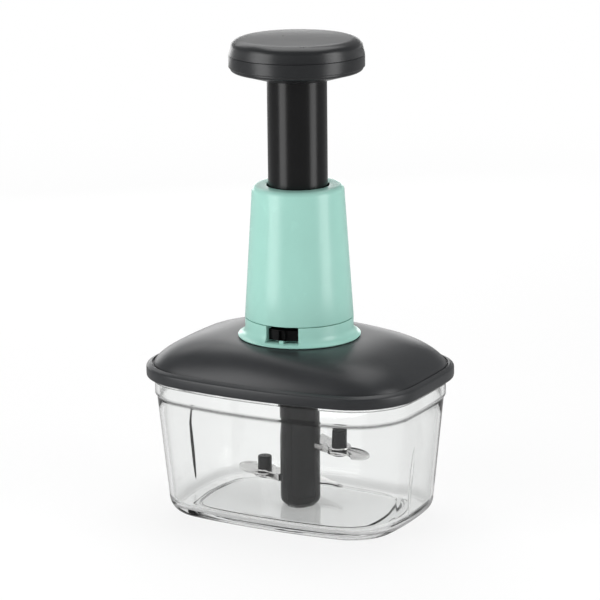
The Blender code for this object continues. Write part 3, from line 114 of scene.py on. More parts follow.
# Bowl sections as inset and height: under the foot, up the band and over the rim, and the groove
FOOT_SECTION = (
    (0.0076, 0.0008), (0.0068, 0.0008), (0.0064, 0.0002), (0.0060, 0.0), (0.0054, 0.0),
    (0.0006, 0.0),
)
BAND_SECTION = (
    (LEDGE_STEP * 0.75, LEDGE_Z + 0.0001), (0.0002, BAND_Z - 0.0003), (0.0, BAND_Z + 0.0001),
    (0.0, BAND_Z + 0.0007), (0.0, BAND_Z + 0.0040), (0.0, RIM_Z - 0.0066),
    (0.0, RIM_Z - 0.0060), (-0.0011, RIM_Z - 0.0057), (-0.0015, RIM_Z - 0.0050),
    (-0.0015, RIM_Z - 0.0004), (-0.0011, RIM_Z), (WALL - 0.0004, RIM_Z), (WALL, RIM_Z - 0.0004),
    (WALL, RIM_Z - 0.0012), (WALL, BAND_Z + 0.0008), (WALL, BAND_Z + 0.0002),
    (WALL + LEDGE_STEP * 0.5, LEDGE_Z),
)
GROOVE_SECTION = (
    (-0.0008, FLOOR_Z), (-0.0004, FLOOR_Z), (-0.0001, FLOOR_Z - 0.0001),
    (0.0003, FLOOR_Z - 0.0006), (0.0009, FLOOR_Z - 0.0006), (0.0013, FLOOR_Z - 0.0001),
    (0.0016, FLOOR_Z), (0.0021, FLOOR_Z), (0.0100, FLOOR_Z),
)

# Boss in the middle of the floor, as radius and height
BOSS_SECTION = (
    (0.0100, FLOOR_Z), (0.0078, FLOOR_Z), (0.0063, FLOOR_Z + 0.0005), (0.0060, FLOOR_Z + 0.0014),
    (0.0060, BOSS_Z - 0.0005), (0.0055, BOSS_Z), (0.0028, BOSS_Z), (0.0028, BOSS_Z - 0.0053),
)

# Ribs inside the end walls: which end, and place across it
END_RIBS = ((-1.0, 0.0012), (1.0, -0.0060))
RIB_LOW_Z, RIB_HIGH_Z = FLOOR_Z + 0.0030, LEDGE_Z - 0.0180
RIB_TIP, RIB_SWELL = 0.00015, 0.00125
RIB_STEPS, RIB_SIDES = 16, 16

# Lid: the rim's section as inset and height, the dome's curve, and the inside
LID_SHARP = 45.0
SKIRT_Z = LID_LOW.z
BAND_TOP_Z = LID_LOW.z + 0.0058
RIM_SECTION = (
    (0.0011, SKIRT_Z), (0.0005, SKIRT_Z + 0.0001), (0.0001, SKIRT_Z + 0.0005),
    (0.0, SKIRT_Z + 0.0011), (0.0, BAND_TOP_Z - 0.0011), (0.0001, BAND_TOP_Z - 0.0006),
    (0.0004, BAND_TOP_Z - 0.0002), (0.0009, BAND_TOP_Z + 0.0001), (0.0021, BAND_TOP_Z + 0.0008),
    (0.0025, BAND_TOP_Z + 0.0009), (0.0028, BAND_TOP_Z + 0.0007), (0.0029, BAND_TOP_Z),
    (0.0032, BAND_TOP_Z - 0.0002), (0.0035, BAND_TOP_Z), (0.0036, BAND_TOP_Z + 0.0006),
)
DOME_INSET, DOME_EDGE_Z = 0.0039, BAND_TOP_Z + 0.0011
DOME_STEPS, DOME_SPACING = 22, 1.5
DOME_FALL, DOME_RISE = 2.5, 1.0 / 1.24
LID_WALL = 0.0024
LID_HOLE = 0.0132
INNER_INSET, INNER_STEPS = 0.0055, 8
SKIRT_WALL = 0.0022
LID_LEDGE_Z = BAND_TOP_Z - 0.0012

# Collar
COLLAR_EDGE = 0.00025
COLLAR_RADIUS = 0.0275
COLLAR_FLARE = 0.0036
COLLAR_FOOT = COLLAR_RADIUS + COLLAR_FLARE
COLLAR_BORE = 0.0054
COLLAR_TOP_Z = COLLAR_LOW.z + 0.0097
COLLAR_FLOOR_Z = COLLAR_LOW.z + 0.0022
FLARE_TOP_Z, FLARE_HEIGHT = COLLAR_LOW.z + 0.0050, 0.0042
FLARE_EDGE, FLARE_ARC = 0.0005, (-105.0, -180.0, 12)
COLLAR_LIP_RADIUS, COLLAR_LIP_BORE, COLLAR_ROOM = 0.0250, 0.0233, 0.0253
COLLAR_ROOF = 0.0016
COLLAR_SLEEVE, COLLAR_SLEEVE_HEIGHT = 0.0088, 0.0024
SMALL_ROUND = 0.0003
WINDOW_START = math.radians(-99.2)
WINDOW_END = math.radians(-63.3)
WINDOW_SILL = 0.0009
WINDOW_INNER, WINDOW_OUTER = 0.0220, 0.0330
WINDOW_STEPS, WINDOW_CORNER = 16, 0.0006
POINTER_ANGLE = math.radians(-81.8)
POINTER_LOW = (0.0256, -0.0011, COLLAR_FLOOR_Z - 0.0016)
POINTER_HIGH = (0.0271, 0.0011, COLLAR_FLOOR_Z + 0.0006)
SCREW_BOSS_TURNS = (30.0, 150.0, 270.0)
SCREW_BOSS_REACH, SCREW_BOSS_DEPTH = 0.0166, 0.0053
SCREW_BOSS_LOW, SCREW_BOSS_HIGH = 0.0030, 0.0029
SCREW_BOSS_RISE, SCREW_BOSS_STEPS = 0.0015, 32

# Cone
TUBE_RADIUS = 0.0150
CONE_TOP_RADIUS = 0.0233
CONE_FILLET = 0.0028
CONE_DROP = 0.0009
CONE_UNDER_Z = CONE_HIGH.z - 0.0018
CONE_HOLE = TUBE_RADIUS + 0.0008
CONE_HOLE_ROUND = 0.0004
CONE_WALL_LOW, CONE_WALL_HIGH = 0.0021, 0.0022
CONE_FOOT = ((0.0003, 0.0), (0.0001, 0.0001), (0.0, 0.0004))
RAIL_START, RAIL_END, RAIL_HALF = TUBE_RADIUS + 0.0018, 0.0222, 0.0020

# Lock ring
LOCK_LOW_Z = COLLAR_FLOOR_Z + GAP
LOCK_TOP_Z = COLLAR_TOP_Z - COLLAR_ROOF - GAP
LOCK_INNER, LOCK_OUTER = 0.0208, 0.0250
LOCK_RIB_ANGLES = (math.radians(-85.2), math.radians(-78.4))
LOCK_RIB_LOW = (0.0229, -0.0004, LOCK_LOW_Z + 0.0002)
LOCK_RIB_HIGH = (0.0270, 0.0004, LOCK_TOP_Z - GAP)
LOCK_RIB_FACE = 0.0258
TONGUE_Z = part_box("lock_ring")[1].z
LOCK_TONGUE = (
    ((0.0186, -0.0024, LOCK_LOW_Z + GAP), (0.0229, 0.0024, LOCK_TOP_Z - GAP)),
    ((0.0187, -0.00235, LOCK_LOW_Z + 2.0 * GAP), (0.0204, 0.00235, TONGUE_Z)),
    ((0.0158, -0.0022, TONGUE_Z - 0.0020), (0.0201, 0.0022, TONGUE_Z - 0.0001)),
)

# Plunger tube: flange, bore, step for the nut, and each slot's start, half width and turn
FLANGE_RADIUS, FLANGE_HEIGHT = 0.0182, 0.0025
TUBE_BORE, NUT_BORE, NUT_STEP = 0.0120, 0.0127, 0.0096
FLANGE_SLOTS = ((0.0164, 0.0024, 0.0), (0.0164, 0.0024, math.pi), (0.0154, 0.0029, RIGHT_ANGLE))
SLOT_END, SLOT_BELOW, SLOT_ABOVE = 0.0200, 0.001, 0.004

# Drive rod
ROD_LEAD = 0.040
ROD_FLAT = 0.0074
ROD_CORNER = 0.0003
ROD_FLANGE_Z = 0.0974
ROD_FLANGE_RADIUS, ROD_FLANGE_HEIGHT = 0.0080, 0.0020
ROD_JOURNAL, ROD_TAIL, ROD_HOLE, ROD_HOLE_DEPTH = 0.0050, 0.0029, 0.0017, 0.0065
ROD_END_Z, ROD_END_HALF = 0.0868, 0.0030
ROD_TIP, ROD_TIP_HEIGHT, ROD_TIP_ROUND = 0.0025, 0.0026, 0.0004
ROD_SEAT = 0.0002
ROD_STEPS, ROD_SIDE_CUTS = 64, 5
TWIST_STEP = math.radians(5.0)

# Return spring
COIL_SHARP = 60.0
SPRING_TURNS = 9
SPRING_WIRE = 0.00055
SPRING_STEPS, WIRE_STEPS = 48, 12

# Knob
KNOB_RADIUS = 0.0340
KNOB_FACE = 0.0262
KNOB_DRAFT = 0.0009
KNOB_SEAM = 0.0001
KNOB_BOSS = 0.0016
KNOB_LIP = 0.0046
KNOB_EDGE = 0.00015
KNOB_STEP = 0.0009
KNOB_BOSS_RADIUS, KNOB_SLEEVE = 0.0185, 0.0022
LIP_ROUND = 0.0004
UNDER_ROUND = 0.0032
UNDER_DROP = 0.0012
UNDER_ARC = (0.0, -75.0, 8)
CROWN_Z = CAP_HIGH.z
SHOULDER_Z, SHOULDER_RISE = CROWN_Z - 0.0054, 0.0046
KNOB_ROOM, KNOB_SPIGOT = 0.0304, 0.0316
KNOB_ROOM_Z, KNOB_SPIGOT_RISE = BASE_LOW.z + 0.0052, 0.0020
KNOB_PLATE, KNOB_PLATE_RISE = 0.0024, 0.0012
CAP_WALL, CAP_ROOF, CAP_INNER_RISE = 0.0024, 0.0029, 0.0039
CAP_INNER_FACE = KNOB_FACE - 0.0030
CROWN_FALL = ((0.75, 0.0004), (0.4, 0.0001), (0.0, 0.0))

# Blade column: foot section as radius and height over the foot, bores and cover
COLUMN_RADIUS = 0.01025
COLUMN_SEAT, COLUMN_BORE, COLUMN_SEAT_Z = 0.00725, 0.0055, 0.0136
COLUMN_FOOT = ((0.0082, 0.0), (0.0088, 0.0003), (0.0097, 0.0013), (COLUMN_RADIUS, 0.0030))
COVER_START, COVER_END = math.radians(-87.7), math.radians(84.0)
COVER_INNER, RECESS_INNER = 0.00905, 0.00875
COVER_CORNER = 0.0025
CUT_REACH = 0.0118
ARM_SLOT_START, ARM_SLOT_HALF, ARM_SLOT_RISE = 0.0063, 0.0046, 0.0022
LOW_ARM = (0.0168, math.radians(162.0))
HIGH_ARM = (0.0353, math.radians(-18.0))
FLOOR_SLOT_LOW, FLOOR_SLOT_HIGH = (0.0057, -0.0048, 0.0081), (CUT_REACH, 0.0048, 0.0095)

# Pivot posts
POST_RADIUS, POST_FOOT_ROUND, POST_TOP_ROUND = 0.0036, 0.0005, 0.0006
POST_DIMPLE, POST_DIMPLE_EDGE, POST_DIMPLE_DEPTH = 0.0009, 0.0006, 0.0004

# Swing blades: node, level of the underside, post place, turn, length
SWING_BLADES = (
    ("lower", 0.0160, (0.0212, math.radians(162.0)), math.radians(180.0), 0.0178),
    ("upper", 0.0345, (0.0232, math.radians(-18.0)), math.radians(2.0), 0.0190),
)
STEEL = 0.0008
BLADE_WIDTH = 0.0186
BLADE_HEEL = 0.0058
HEEL_ARC, SWING_STEPS = (70.0, 290.0, 6), 6
BLADE_HOLE, BLADE_DRILL = 0.0040, 0.004
BLADE_SHARP = 12.0
GROUND_SHARE = 0.28
CUTTING_START, CUTTING_BACK = 0.004, -0.0078
SWING_SHARES = (
    (0.36, -0.36), (0.50, -0.44), (0.63, -0.62), (0.76, -0.61), (0.90, -0.56),
    (0.985, -0.42), (0.98, -0.22), (0.88, -0.04), (0.72, 0.12), (0.52, 0.24), (0.30, 0.30),
)

# Sickle blade near the floor, with turn in radians and share of its reach round the edge
FLOOR_REACH, FLOOR_TURN = 0.0340, math.radians(118.0)
TANG_START, TANG_END, TANG_HALF = 0.0075, 0.0106, 0.0045
SICKLE_CUTTING, SICKLE_STEPS = 0.021, 4
FLOOR_SHARES = (
    (-0.16, 0.42), (-0.50, 0.47), (-0.84, 0.55), (-1.10, 0.61), (-1.26, 0.65),
    (-1.02, 0.69), (-0.74, 0.70), (-0.50, 0.78), (-0.30, 0.89), (-0.08, 0.97),
    (0.14, 1.00), (0.29, 0.88), (0.37, 0.66), (0.37, 0.42),
)

# Straps
STRAP_EDGE = 0.00012
STRAP_SWEEP = 0.0050
STRAP_START, STRAP_HALF, STRAP_END, STRAP_STEPS = 0.0066, 0.0043, 0.0058, 32
THROAT_START, THROAT_ROOM = 0.0074, 0.0080
STRAP_HOLE, STRAP_DRILL = 0.0039, 0.008

# Pieces whose CAD shape is kept, and the finish of each
CARRIED_OVER = {
    "bowl_pin": "rod",
    "column_bush": "natural", "drive_nut": "natural", "spring_seat": "natural",
    "ratchet_wheel": "natural", "column_head": "black", "guide_bush": "black",
    "lid_liner": "charcoal", "drive_cup": "charcoal", "lid_gasket": "silicone",
    "cup_screw": "zinc", "collar_screw_1": "zinc",
    "collar_screw_2": "zinc", "collar_screw_3": "zinc",
}

# Satin finishes: roughness, lightest tone, darkest tone and gloss
SATIN = {
    "mint": (0.25, 1.04, 0.97, 0.50),
    "charcoal": (0.35, 1.25, 0.92, 0.35),
    "knob": (0.29, 0.80, 0.60, 0.42),
    "black": (0.20, 1.00, 0.55, 0.10),
    "natural": (0.46, 1.03, 0.95, 0.35),
}
NATURAL = (0.72, 0.71, 0.67)
ZINC = (0.55, 0.56, 0.58)
SILICONE = (0.80, 0.80, 0.79)
WHITE = (1.0, 1.0, 1.0, 1.0)

# Share of white that the world gives to the diffuse light
AMBIENT = 0.34

# Lamps: place, aim, width and height, watts
LAMPS = {
    "left_softbox": ((-0.82, -0.68, 0.60), (0.0, 0.0, 0.12), (0.36, 0.9), 2.2),
    "right_softbox": ((1.02, 0.20, 0.55), (0.0, 0.0, 0.12), (0.30, 0.9), 1.2),
    "top_softbox": ((-0.10, 0.30, 1.05), (0.0, 0.0, 0.05), (0.8, 0.7), 4.6),
    "back_softbox": ((-0.72, 0.82, 0.84), (-0.03, 0.0, 0.10), (0.9, 0.45), 2.0),
    "low_back_softbox": ((-0.50, 0.62, 0.19), (-0.05, 0.05, 0.11), (0.8, 0.2), 1.3),
    "left_strip": ((-0.225, -0.39, 0.24), (0.0, 0.0, 0.24), (0.22, 0.46), 1.15),
    "right_strip": ((0.45, 0.006, 0.24), (0.0, 0.0, 0.24), (0.20, 0.46), 1.0),
}
HIDDEN_THROUGH_BOWL = ("low_back_softbox",)
FLOOR_SIZE, FLOOR_CELLS = 12.0, 8
CAMERA_HEIGHT, CAMERA_TURN, CAMERA_ROLL = (math.radians(a) for a in (14.09, 28.04, 0.6))
CAMERA_AIM_Z, CAMERA_SHIFT, CAMERA_AWAY = 0.110, 0.0004, 1.5
LENS, SENSOR, FAR_CLIP = 177.88, 36.0, 50.0


class ChopperSizes(bpy.types.PropertyGroup):
    """Sizes that change how the finished pieces look."""
    edge_round: FloatProperty(
        name="Edge round", description="Radius on the edges of the column and its cover",
        default=0.00035, min=0.0001, max=0.001, unit="LENGTH")
    steel_edge: FloatProperty(
        name="Steel edge", description="Width of the ground cutting edge",
        default=0.0018, min=0.0005, max=0.003, unit="LENGTH")
    grain_size: FloatProperty(
        name="Mould grain", description="Size of the fine texture on the satin plastic",
        default=0.0004, min=0.0001, max=0.002, unit="LENGTH")
    streak_size: FloatProperty(
        name="Brushing", description="Spacing of the brushed lines in the steel",
        default=0.0003, min=0.0001, max=0.001, unit="LENGTH")


class ChopperColours(bpy.types.PropertyGroup):
    """Base colours of the finishes."""
    mint: FloatVectorProperty(
        name="Mint plastic", description="Colour of the drive housing",
        default=(0.356, 0.650, 0.568), size=3, min=0.0, max=1.0, subtype="COLOR")
    charcoal: FloatVectorProperty(
        name="Charcoal plastic", description="Colour of the lid and the knob",
        default=(0.0235, 0.0248, 0.0268), size=3, min=0.0, max=1.0, subtype="COLOR")
    black: FloatVectorProperty(
        name="Black plastic", description="Colour of the tube, column and posts",
        default=(0.0066, 0.0066, 0.0070), size=3, min=0.0, max=1.0, subtype="COLOR")
    clear: FloatVectorProperty(
        name="Clear plastic", description="Tint of the bowl",
        default=(0.955, 0.962, 0.958), size=3, min=0.0, max=1.0, subtype="COLOR")
    steel: FloatVectorProperty(
        name="Blade steel", description="Colour of the straps and blades",
        default=(0.66, 0.655, 0.65), size=3, min=0.0, max=1.0, subtype="COLOR")
    floor: FloatVectorProperty(
        name="Floor", description="Colour of the floor and backdrop",
        default=(0.90, 0.90, 0.90), size=3, min=0.0, max=1.0, subtype="COLOR")


# Shader expressions

class Wire:
    """A socket of a node tree that can stand in a Python expression."""

    def __init__(self, tree, socket=None):
        self.tree = tree
        self.socket = socket

    def node(self, kind, settings=None, output=0, **inputs):
        """Add a node: settings first, then its inputs by name or number, and give an output."""
        made = self.tree.nodes.new(kind)
        for name, value in (settings or {}).items():
            setattr(made, name, value)
        for name, value in inputs.items():
            key = int(name[1:]) if name[0] == "i" and name[1:].isdigit() else name
            target = made.inputs[key]
            if isinstance(value, Wire):
                self.tree.links.new(value.socket, target)
            else:
                target.default_value = value
        return Wire(self.tree, made.outputs[output])

    def _math(self, operation, first, second):
        return self.node("ShaderNodeMath", {"operation": operation}, i0=first, i1=second)

    def __add__(self, other):
        return self._math("ADD", self, other)

    def __radd__(self, other):
        return self._math("ADD", other, self)

    def __sub__(self, other):
        return self._math("SUBTRACT", self, other)

    def __rsub__(self, other):
        return self._math("SUBTRACT", other, self)

    def __mul__(self, other):
        return self._math("MULTIPLY", self, other)

    def __rmul__(self, other):
        return self._math("MULTIPLY", other, self)

    def raised(self, power):
        return self._math("POWER", self, power)

    def clamped(self):
        return self.node("ShaderNodeClamp", Value=self)

    def scaled(self, x, y, z):
        """A vector stretched along its axes."""
        return self.node(
            "ShaderNodeVectorMath", {"operation": "MULTIPLY"}, i0=self, i1=(x, y, z))

    def length(self):
        return self.node("ShaderNodeVectorMath", {"operation": "LENGTH"}, output=1, i0=self)

    def upright(self):
        """The third part of a vector."""
        return self.node("ShaderNodeSeparateXYZ", output=2, Vector=self)

    def noise(self, scale, detail=3.0, roughness=0.55):
        return self.node("ShaderNodeTexNoise", Vector=self, Scale=scale, Detail=detail,
                         Roughness=roughness)

    def between(self, low, high, kind="LINEAR"):
        """Spread a value from zero to one over part of its range."""
        return self.node("ShaderNodeMapRange", {"interpolation_type": kind}, i0=self, i1=low,
                         i2=high)

    def blend(self, first, second):
        """Two colours mixed by this value."""
        return self.node("ShaderNodeMix", {"data_type": "RGBA"}, output=2, i0=self, i6=first,
                         i7=second)


def rgba(colour, lift=1.0):
    return (*(min(1.0, channel * lift) for channel in colour), 1.0)


def light_rays(tree):
    """Which rays come straight from the camera, through the bowl and off a gloss."""
    rays = tree.nodes.new("ShaderNodeLightPath")
    return (Wire(tree, rays.outputs[f"Is {kind} Ray"])
            for kind in ("Camera", "Transmission", "Glossy"))


class Finish:
    """A material under construction: its shader and the object's own coordinates."""

    def __init__(self, name):
        self.material = bpy.data.materials.new(name)
        self.material.use_nodes = True
        self.tree = self.material.node_tree
        self.shader = self.tree.nodes["Principled BSDF"]
        self.start = Wire(self.tree)
        self.place = self.start.node("ShaderNodeTexCoord", output=3)

    def feed(self, **wires):
        """Lead wires to the shader's inputs."""
        for name, wire in wires.items():
            self.tree.links.new(wire.socket, self.shader.inputs[name.replace("_", " ")])

    def surface(self, colour, rough, height, strength, distance):
        """Lead a colour, a roughness and a bump of some height to the shader."""
        bump = self.start.node("ShaderNodeBump", Strength=strength, Distance=distance,
                               Height=height)
        self.feed(Base_Color=colour, Roughness=rough, Normal=bump)

    def fixed(self, **values):
        """Set the shader's even values, and give the material."""
        for name, value in values.items():
            self.shader.inputs[name.replace("_", " ")].default_value = value
        return self.material


def satin_plastic(name, colour, grain, rough, lift, fall, gloss):
    """Moulded plastic: fine spark grain, soft drifts of tone and a few rubbed places."""
    made = Finish(name)
    fine = made.place.noise(1.0 / grain, 2.0)
    drift = made.place.noise(28.0, 4.0)
    rubbed = made.place.noise(95.0, 6.0, 0.7).between(0.60, 0.74)
    tone = (drift * 0.75 + fine * 0.25).between(0.30, 0.70)
    base = tone.blend(rgba(colour, fall), rgba(colour, lift))
    made.surface((rubbed * 0.22).blend(base, rgba(colour, lift * 1.25)),
                 (rough - 0.05) + drift * 0.07 + fine * 0.04 - rubbed * 0.05,
                 fine * 0.7 + drift * 0.3, 0.05, 0.00010)
    return made.fixed(Specular_IOR_Level=gloss)


def sliding_plastic(name, colour, rough):
    """Black plastic that slides: long fine lines up and down where it runs in its bush."""
    made = Finish(name)
    lines = made.place.scaled(2600.0, 2600.0, 14.0).noise(1.0, 2.0)
    drift = made.place.noise(40.0, 3.0)
    polish = lines.between(0.52, 0.72)
    made.surface((drift * 0.6 + polish * 0.4).blend(rgba(colour, 0.7), rgba(colour, 1.2)),
                 rough + drift * 0.06 - polish * 0.06, lines, 0.06, 0.00010)
    return made.fixed(Specular_IOR_Level=0.30)


def clear_plastic(name, tint):
    """Clear moulded bowl with faint flow lines and fine handling marks, and painted shade in its
    tint:
    darker where a wall is seen along its face, dark lines where a face slopes, most at the ledge,
    and a touch darker on level faces."""
    made = Finish(name)
    flow = made.place.scaled(1.0, 1.0, 0.25).noise(30.0, 2.0)
    marks = made.place.scaled(900.0, 900.0, 60.0).noise(1.0, 3.0).between(0.66, 0.80)
    # Masks for painted shade: walls seen along their face, sloping faces with the ledge band, and
    # level faces
    grazing = made.start.node("ShaderNodeLayerWeight", output=1, Blend=0.5)
    upward = made.start.node("ShaderNodeNewGeometry", output=1).upright()
    level = upward * upward
    wall = 1.0 - level.between(0.05, 0.30)
    slope = level * (1.0 - level) * 4.0
    lines = slope * (0.30 + made.place.upright().between(0.0590, 0.0604) * 1.5)
    # Painted shade: the tint goes dark where the bowl's refraction would draw dark lines and
    # under-floor shadow
    shade = (grazing.raised(3.6) * wall * 1.2 + lines + level.between(0.90, 1.0) * 0.05).clamped()
    made.surface(shade.blend(rgba(tint), rgba(tint, 0.22)),
                 0.012 + flow * 0.015 + marks * 0.05, flow, 0.04, 0.00025)
    return made.fixed(Transmission_Weight=1.0, IOR=1.38, Specular_IOR_Level=0.12)


def brushed_steel(name, colour, streak, rough=0.18, along=(1.0, 0.05, 1.0)):
    """Rolled and brushed stainless sheet with a few darker rubs."""
    made = Finish(name)
    lines = made.place.scaled(*(share / streak for share in along)).noise(0.35, 3.0)
    cloud = made.place.noise(120.0, 4.0)
    rubs = made.place.noise(420.0, 5.0, 0.7).between(0.60, 0.75)
    tone = (lines * 0.6 + cloud * 0.4).between(0.32, 0.68)
    base = tone.blend(rgba(colour, 0.84), rgba(colour, 1.10))
    made.surface((rubs * 0.25).blend(base, rgba(colour, 0.70)),
                 rough + lines * 0.10 + rubs * 0.08, lines, 0.10, 0.00006)
    return made.fixed(Metallic=1.0)


def soft_silicone(name, colour):
    """Matt silicone with dust-fine mottling."""
    made = Finish(name)
    fine = made.place.noise(1800.0, 3.0)
    drift = made.place.noise(60.0, 3.0)
    made.surface(drift.blend(rgba(colour, 0.93), rgba(colour, 1.03)), 0.55 + fine * 0.12,
                 fine, 0.15, 0.0001)
    return made.material


def plated_steel(name, colour):
    """Zinc-plated wire and screws: pale crystals and a grey drift."""
    made = Finish(name)
    crystals = made.place.node("ShaderNodeTexVoronoi", Vector=made.place, Scale=1400.0)
    drift = made.place.noise(90.0, 3.0)
    made.surface((crystals * 0.5 + drift * 0.5).blend(rgba(colour, 0.8), rgba(colour, 1.15)),
                 0.30 + crystals * 0.15, crystals, 0.08, 0.00005)
    return made.fixed(Metallic=1.0)


def finish(name):
    """One of the chopper's finishes, made the first time it is asked for."""
    title = f"{name}_finish"
    known = bpy.data.materials.get(title)
    if known:
        return known
    sizes = bpy.context.scene.chopper_sizes
    colours = bpy.context.scene.chopper_colours
    if name in SATIN:
        colour = {"mint": colours.mint, "black": colours.black, "natural": NATURAL}.get(
            name, colours.charcoal)
        return satin_plastic(title, colour, sizes.grain_size, *SATIN[name])
    if name == "tube":
        return sliding_plastic(title, colours.black, 0.22)
    if name == "clear":
        return clear_plastic(title, colours.clear)
    if name == "steel":
        return brushed_steel(title, colours.steel, sizes.streak_size)
    if name == "rod":
        return brushed_steel(title, colours.steel, sizes.streak_size, 0.22, (1.0, 1.0, 0.04))
    if name == "zinc":
        return plated_steel(title, ZINC)
    if name == "silicone":
        return soft_silicone(title, SILICONE)
    raise ValueError(f"no finish is named {name}")


# Shape helpers

def finish_piece(name, shell, look, body, node, edge=None, sharp=SHARP):
    """Turn a bmesh into a named piece that rides on its body and stands for a node."""
    mesh = bpy.data.meshes.new(name)
    shell.to_mesh(mesh)
    shell.free()
    mesh.materials.append(finish(look))
    mesh.shade_smooth()
    mesh.set_sharp_from_angle(angle=math.radians(sharp))
    piece = bpy.data.objects.new(name, mesh)
    bpy.context.scene.collection.objects.link(piece)
    if edge:
        rounding = piece.modifiers.new("edge_round", "BEVEL")
        rounding.width = edge
        rounding.segments = EDGE_SEGMENTS
        rounding.limit_method = "ANGLE"
        rounding.angle_limit = math.radians(EDGE_ANGLE)
        rounding.harden_normals = True
    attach(piece, body)
    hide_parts(node)
    return piece


def round_edges(shell, edges, radius, segments):
    bmesh.ops.bevel(shell, geom=edges, offset=radius, segments=segments, profile=0.5,
                    affect="EDGES", material=-1)


def face_outwards(shell):
    bmesh.ops.recalc_face_normals(shell, faces=shell.faces)


def close_ends(shell):
    """Close the open ends of a swept shape."""
    rim = [edge for edge in shell.edges if edge.is_boundary]
    bmesh.ops.holes_fill(shell, edges=rim, sides=0)


def newest_point(result):
    return next(item for item in result["geom_last"] if isinstance(item, bmesh.types.BMVert))


def loop_edges(verts):
    """The edges of a ring of points, each of them once."""
    return [edge for vert in verts for edge in vert.link_edges if edge.verts[0] is vert]


def join_edges(shell, loops, closed=False):
    """Bridge neighbouring loops of edges, and the last to the first if closed.

    The second loop of a pair is lifted while they are bridged, because two loops in one plane
    can be joined crosswise.
    """
    pairs = list(zip(loops, loops[1:]))
    if closed:
        pairs.append((loops[-1], loops[0]))
    for low, high in pairs:
        lifted = list({vert for edge in high for vert in edge.verts})
        bmesh.ops.translate(shell, verts=lifted, vec=(0.0, 0.0, BRIDGE_LIFT))
        bmesh.ops.bridge_loops(shell, edges=low + high)
        bmesh.ops.translate(shell, verts=lifted, vec=(0.0, 0.0, -BRIDGE_LIFT))


def tangent_arcs(outline, inset):
    """Centres of the three circles of a quarter outline, and where they touch."""
    half_length, half_width, long_bow, short_bow, corner = outline
    a, b, r = half_length - inset, half_width - inset, corner - inset
    long_radius = (a * a + long_bow * long_bow) / (2.0 * long_bow)
    short_radius = (b * b + short_bow * short_bow) / (2.0 * short_bow)
    long_middle = Vector((0.0, b - long_radius))
    short_middle = Vector((a - short_radius, 0.0))
    span = short_middle - long_middle
    from_long, from_short = long_radius - r, short_radius - r
    along = (from_long ** 2 - from_short ** 2 + span.length_squared) / (2.0 * span.length)
    across = math.sqrt(max(from_long ** 2 - along ** 2, 0.0))
    unit = span.normalized()
    middle = long_middle + unit * along + Vector((unit.y, -unit.x)) * across
    long_touch = long_middle + (middle - long_middle).normalized() * long_radius
    short_touch = short_middle + (middle - short_middle).normalized() * short_radius
    return long_middle, short_middle, middle, long_touch, short_touch


def turn_between(centre, start, end):
    first, last = start - centre, end - centre
    return (math.atan2(last.y, last.x) - math.atan2(first.y, first.x)) % FULL_TURN


def outline_loop(shell, outline, inset, height):
    """Draw a bowed outline by spinning one point through its eight arcs; gives its edges."""
    long_middle, short_middle, middle, long_touch, short_touch = tangent_arcs(outline, inset)
    signs = ((1, 1), (-1, 1), (-1, -1), (1, -1))
    arcs = []
    for index, (sx, sy) in enumerate(signs):
        flip, following = Vector((sx, sy)), Vector(signs[(index + 1) % 4])
        start, end = short_touch * flip, long_touch * flip
        side, touch, steps = long_middle * Vector((1, sy)), long_touch, BOW_STEPS
        if index % 2:
            start, end = end, start
            side, touch, steps = short_middle * Vector((sx, 1)), short_touch, END_STEPS
        arcs.append((middle * flip, start, end, CORNER_STEPS))
        arcs.append((side, end, touch * following, steps))
    made = [shell.verts.new((short_touch.x, short_touch.y, height))]
    for centre, start, end, steps in arcs:
        result = bmesh.ops.spin(
            shell, geom=[made[-1]], cent=(centre.x, centre.y, height), axis=(0, 0, 1),
            angle=turn_between(centre, start, end), steps=steps, use_merge=False,
            use_duplicate=False)
        walk, last = made[-1], newest_point(result)
        while walk is not last:
            edge = next(e for e in walk.link_edges if e.other_vert(walk) not in made)
            walk = edge.other_vert(walk)
            made.append(walk)
    shell.verts.remove(made.pop())
    shell.edges.new((made[-1], made[0]))
    return loop_edges(made)


def circle_loop(shell, radius, height, points=OUTLINE_POINTS, place=(0.0, 0.0)):
    """A level circle; about the middle its points run beside those of an outline."""
    ring = bmesh.ops.create_circle(shell, segments=points, radius=radius,
                                   matrix=Matrix.Translation((*place, height)))
    return loop_edges(ring["verts"])


def straight(start, end):
    """Four points along a line, up to its end."""
    return [(start[0] + (end[0] - start[0]) * share, start[1] + (end[1] - start[1]) * share)
            for share in (0.25, 0.5, 0.75, 1.0)]


def arc_points(centre, radii, start, end, steps):
    """Points on an ellipse about a centre, from one angle to another in degrees."""
    turns = [math.radians(start + (end - start) * step / steps) for step in range(steps + 1)]
    return [(centre[0] + radii[0] * math.cos(turn), centre[1] + radii[1] * math.sin(turn))
            for turn in turns]


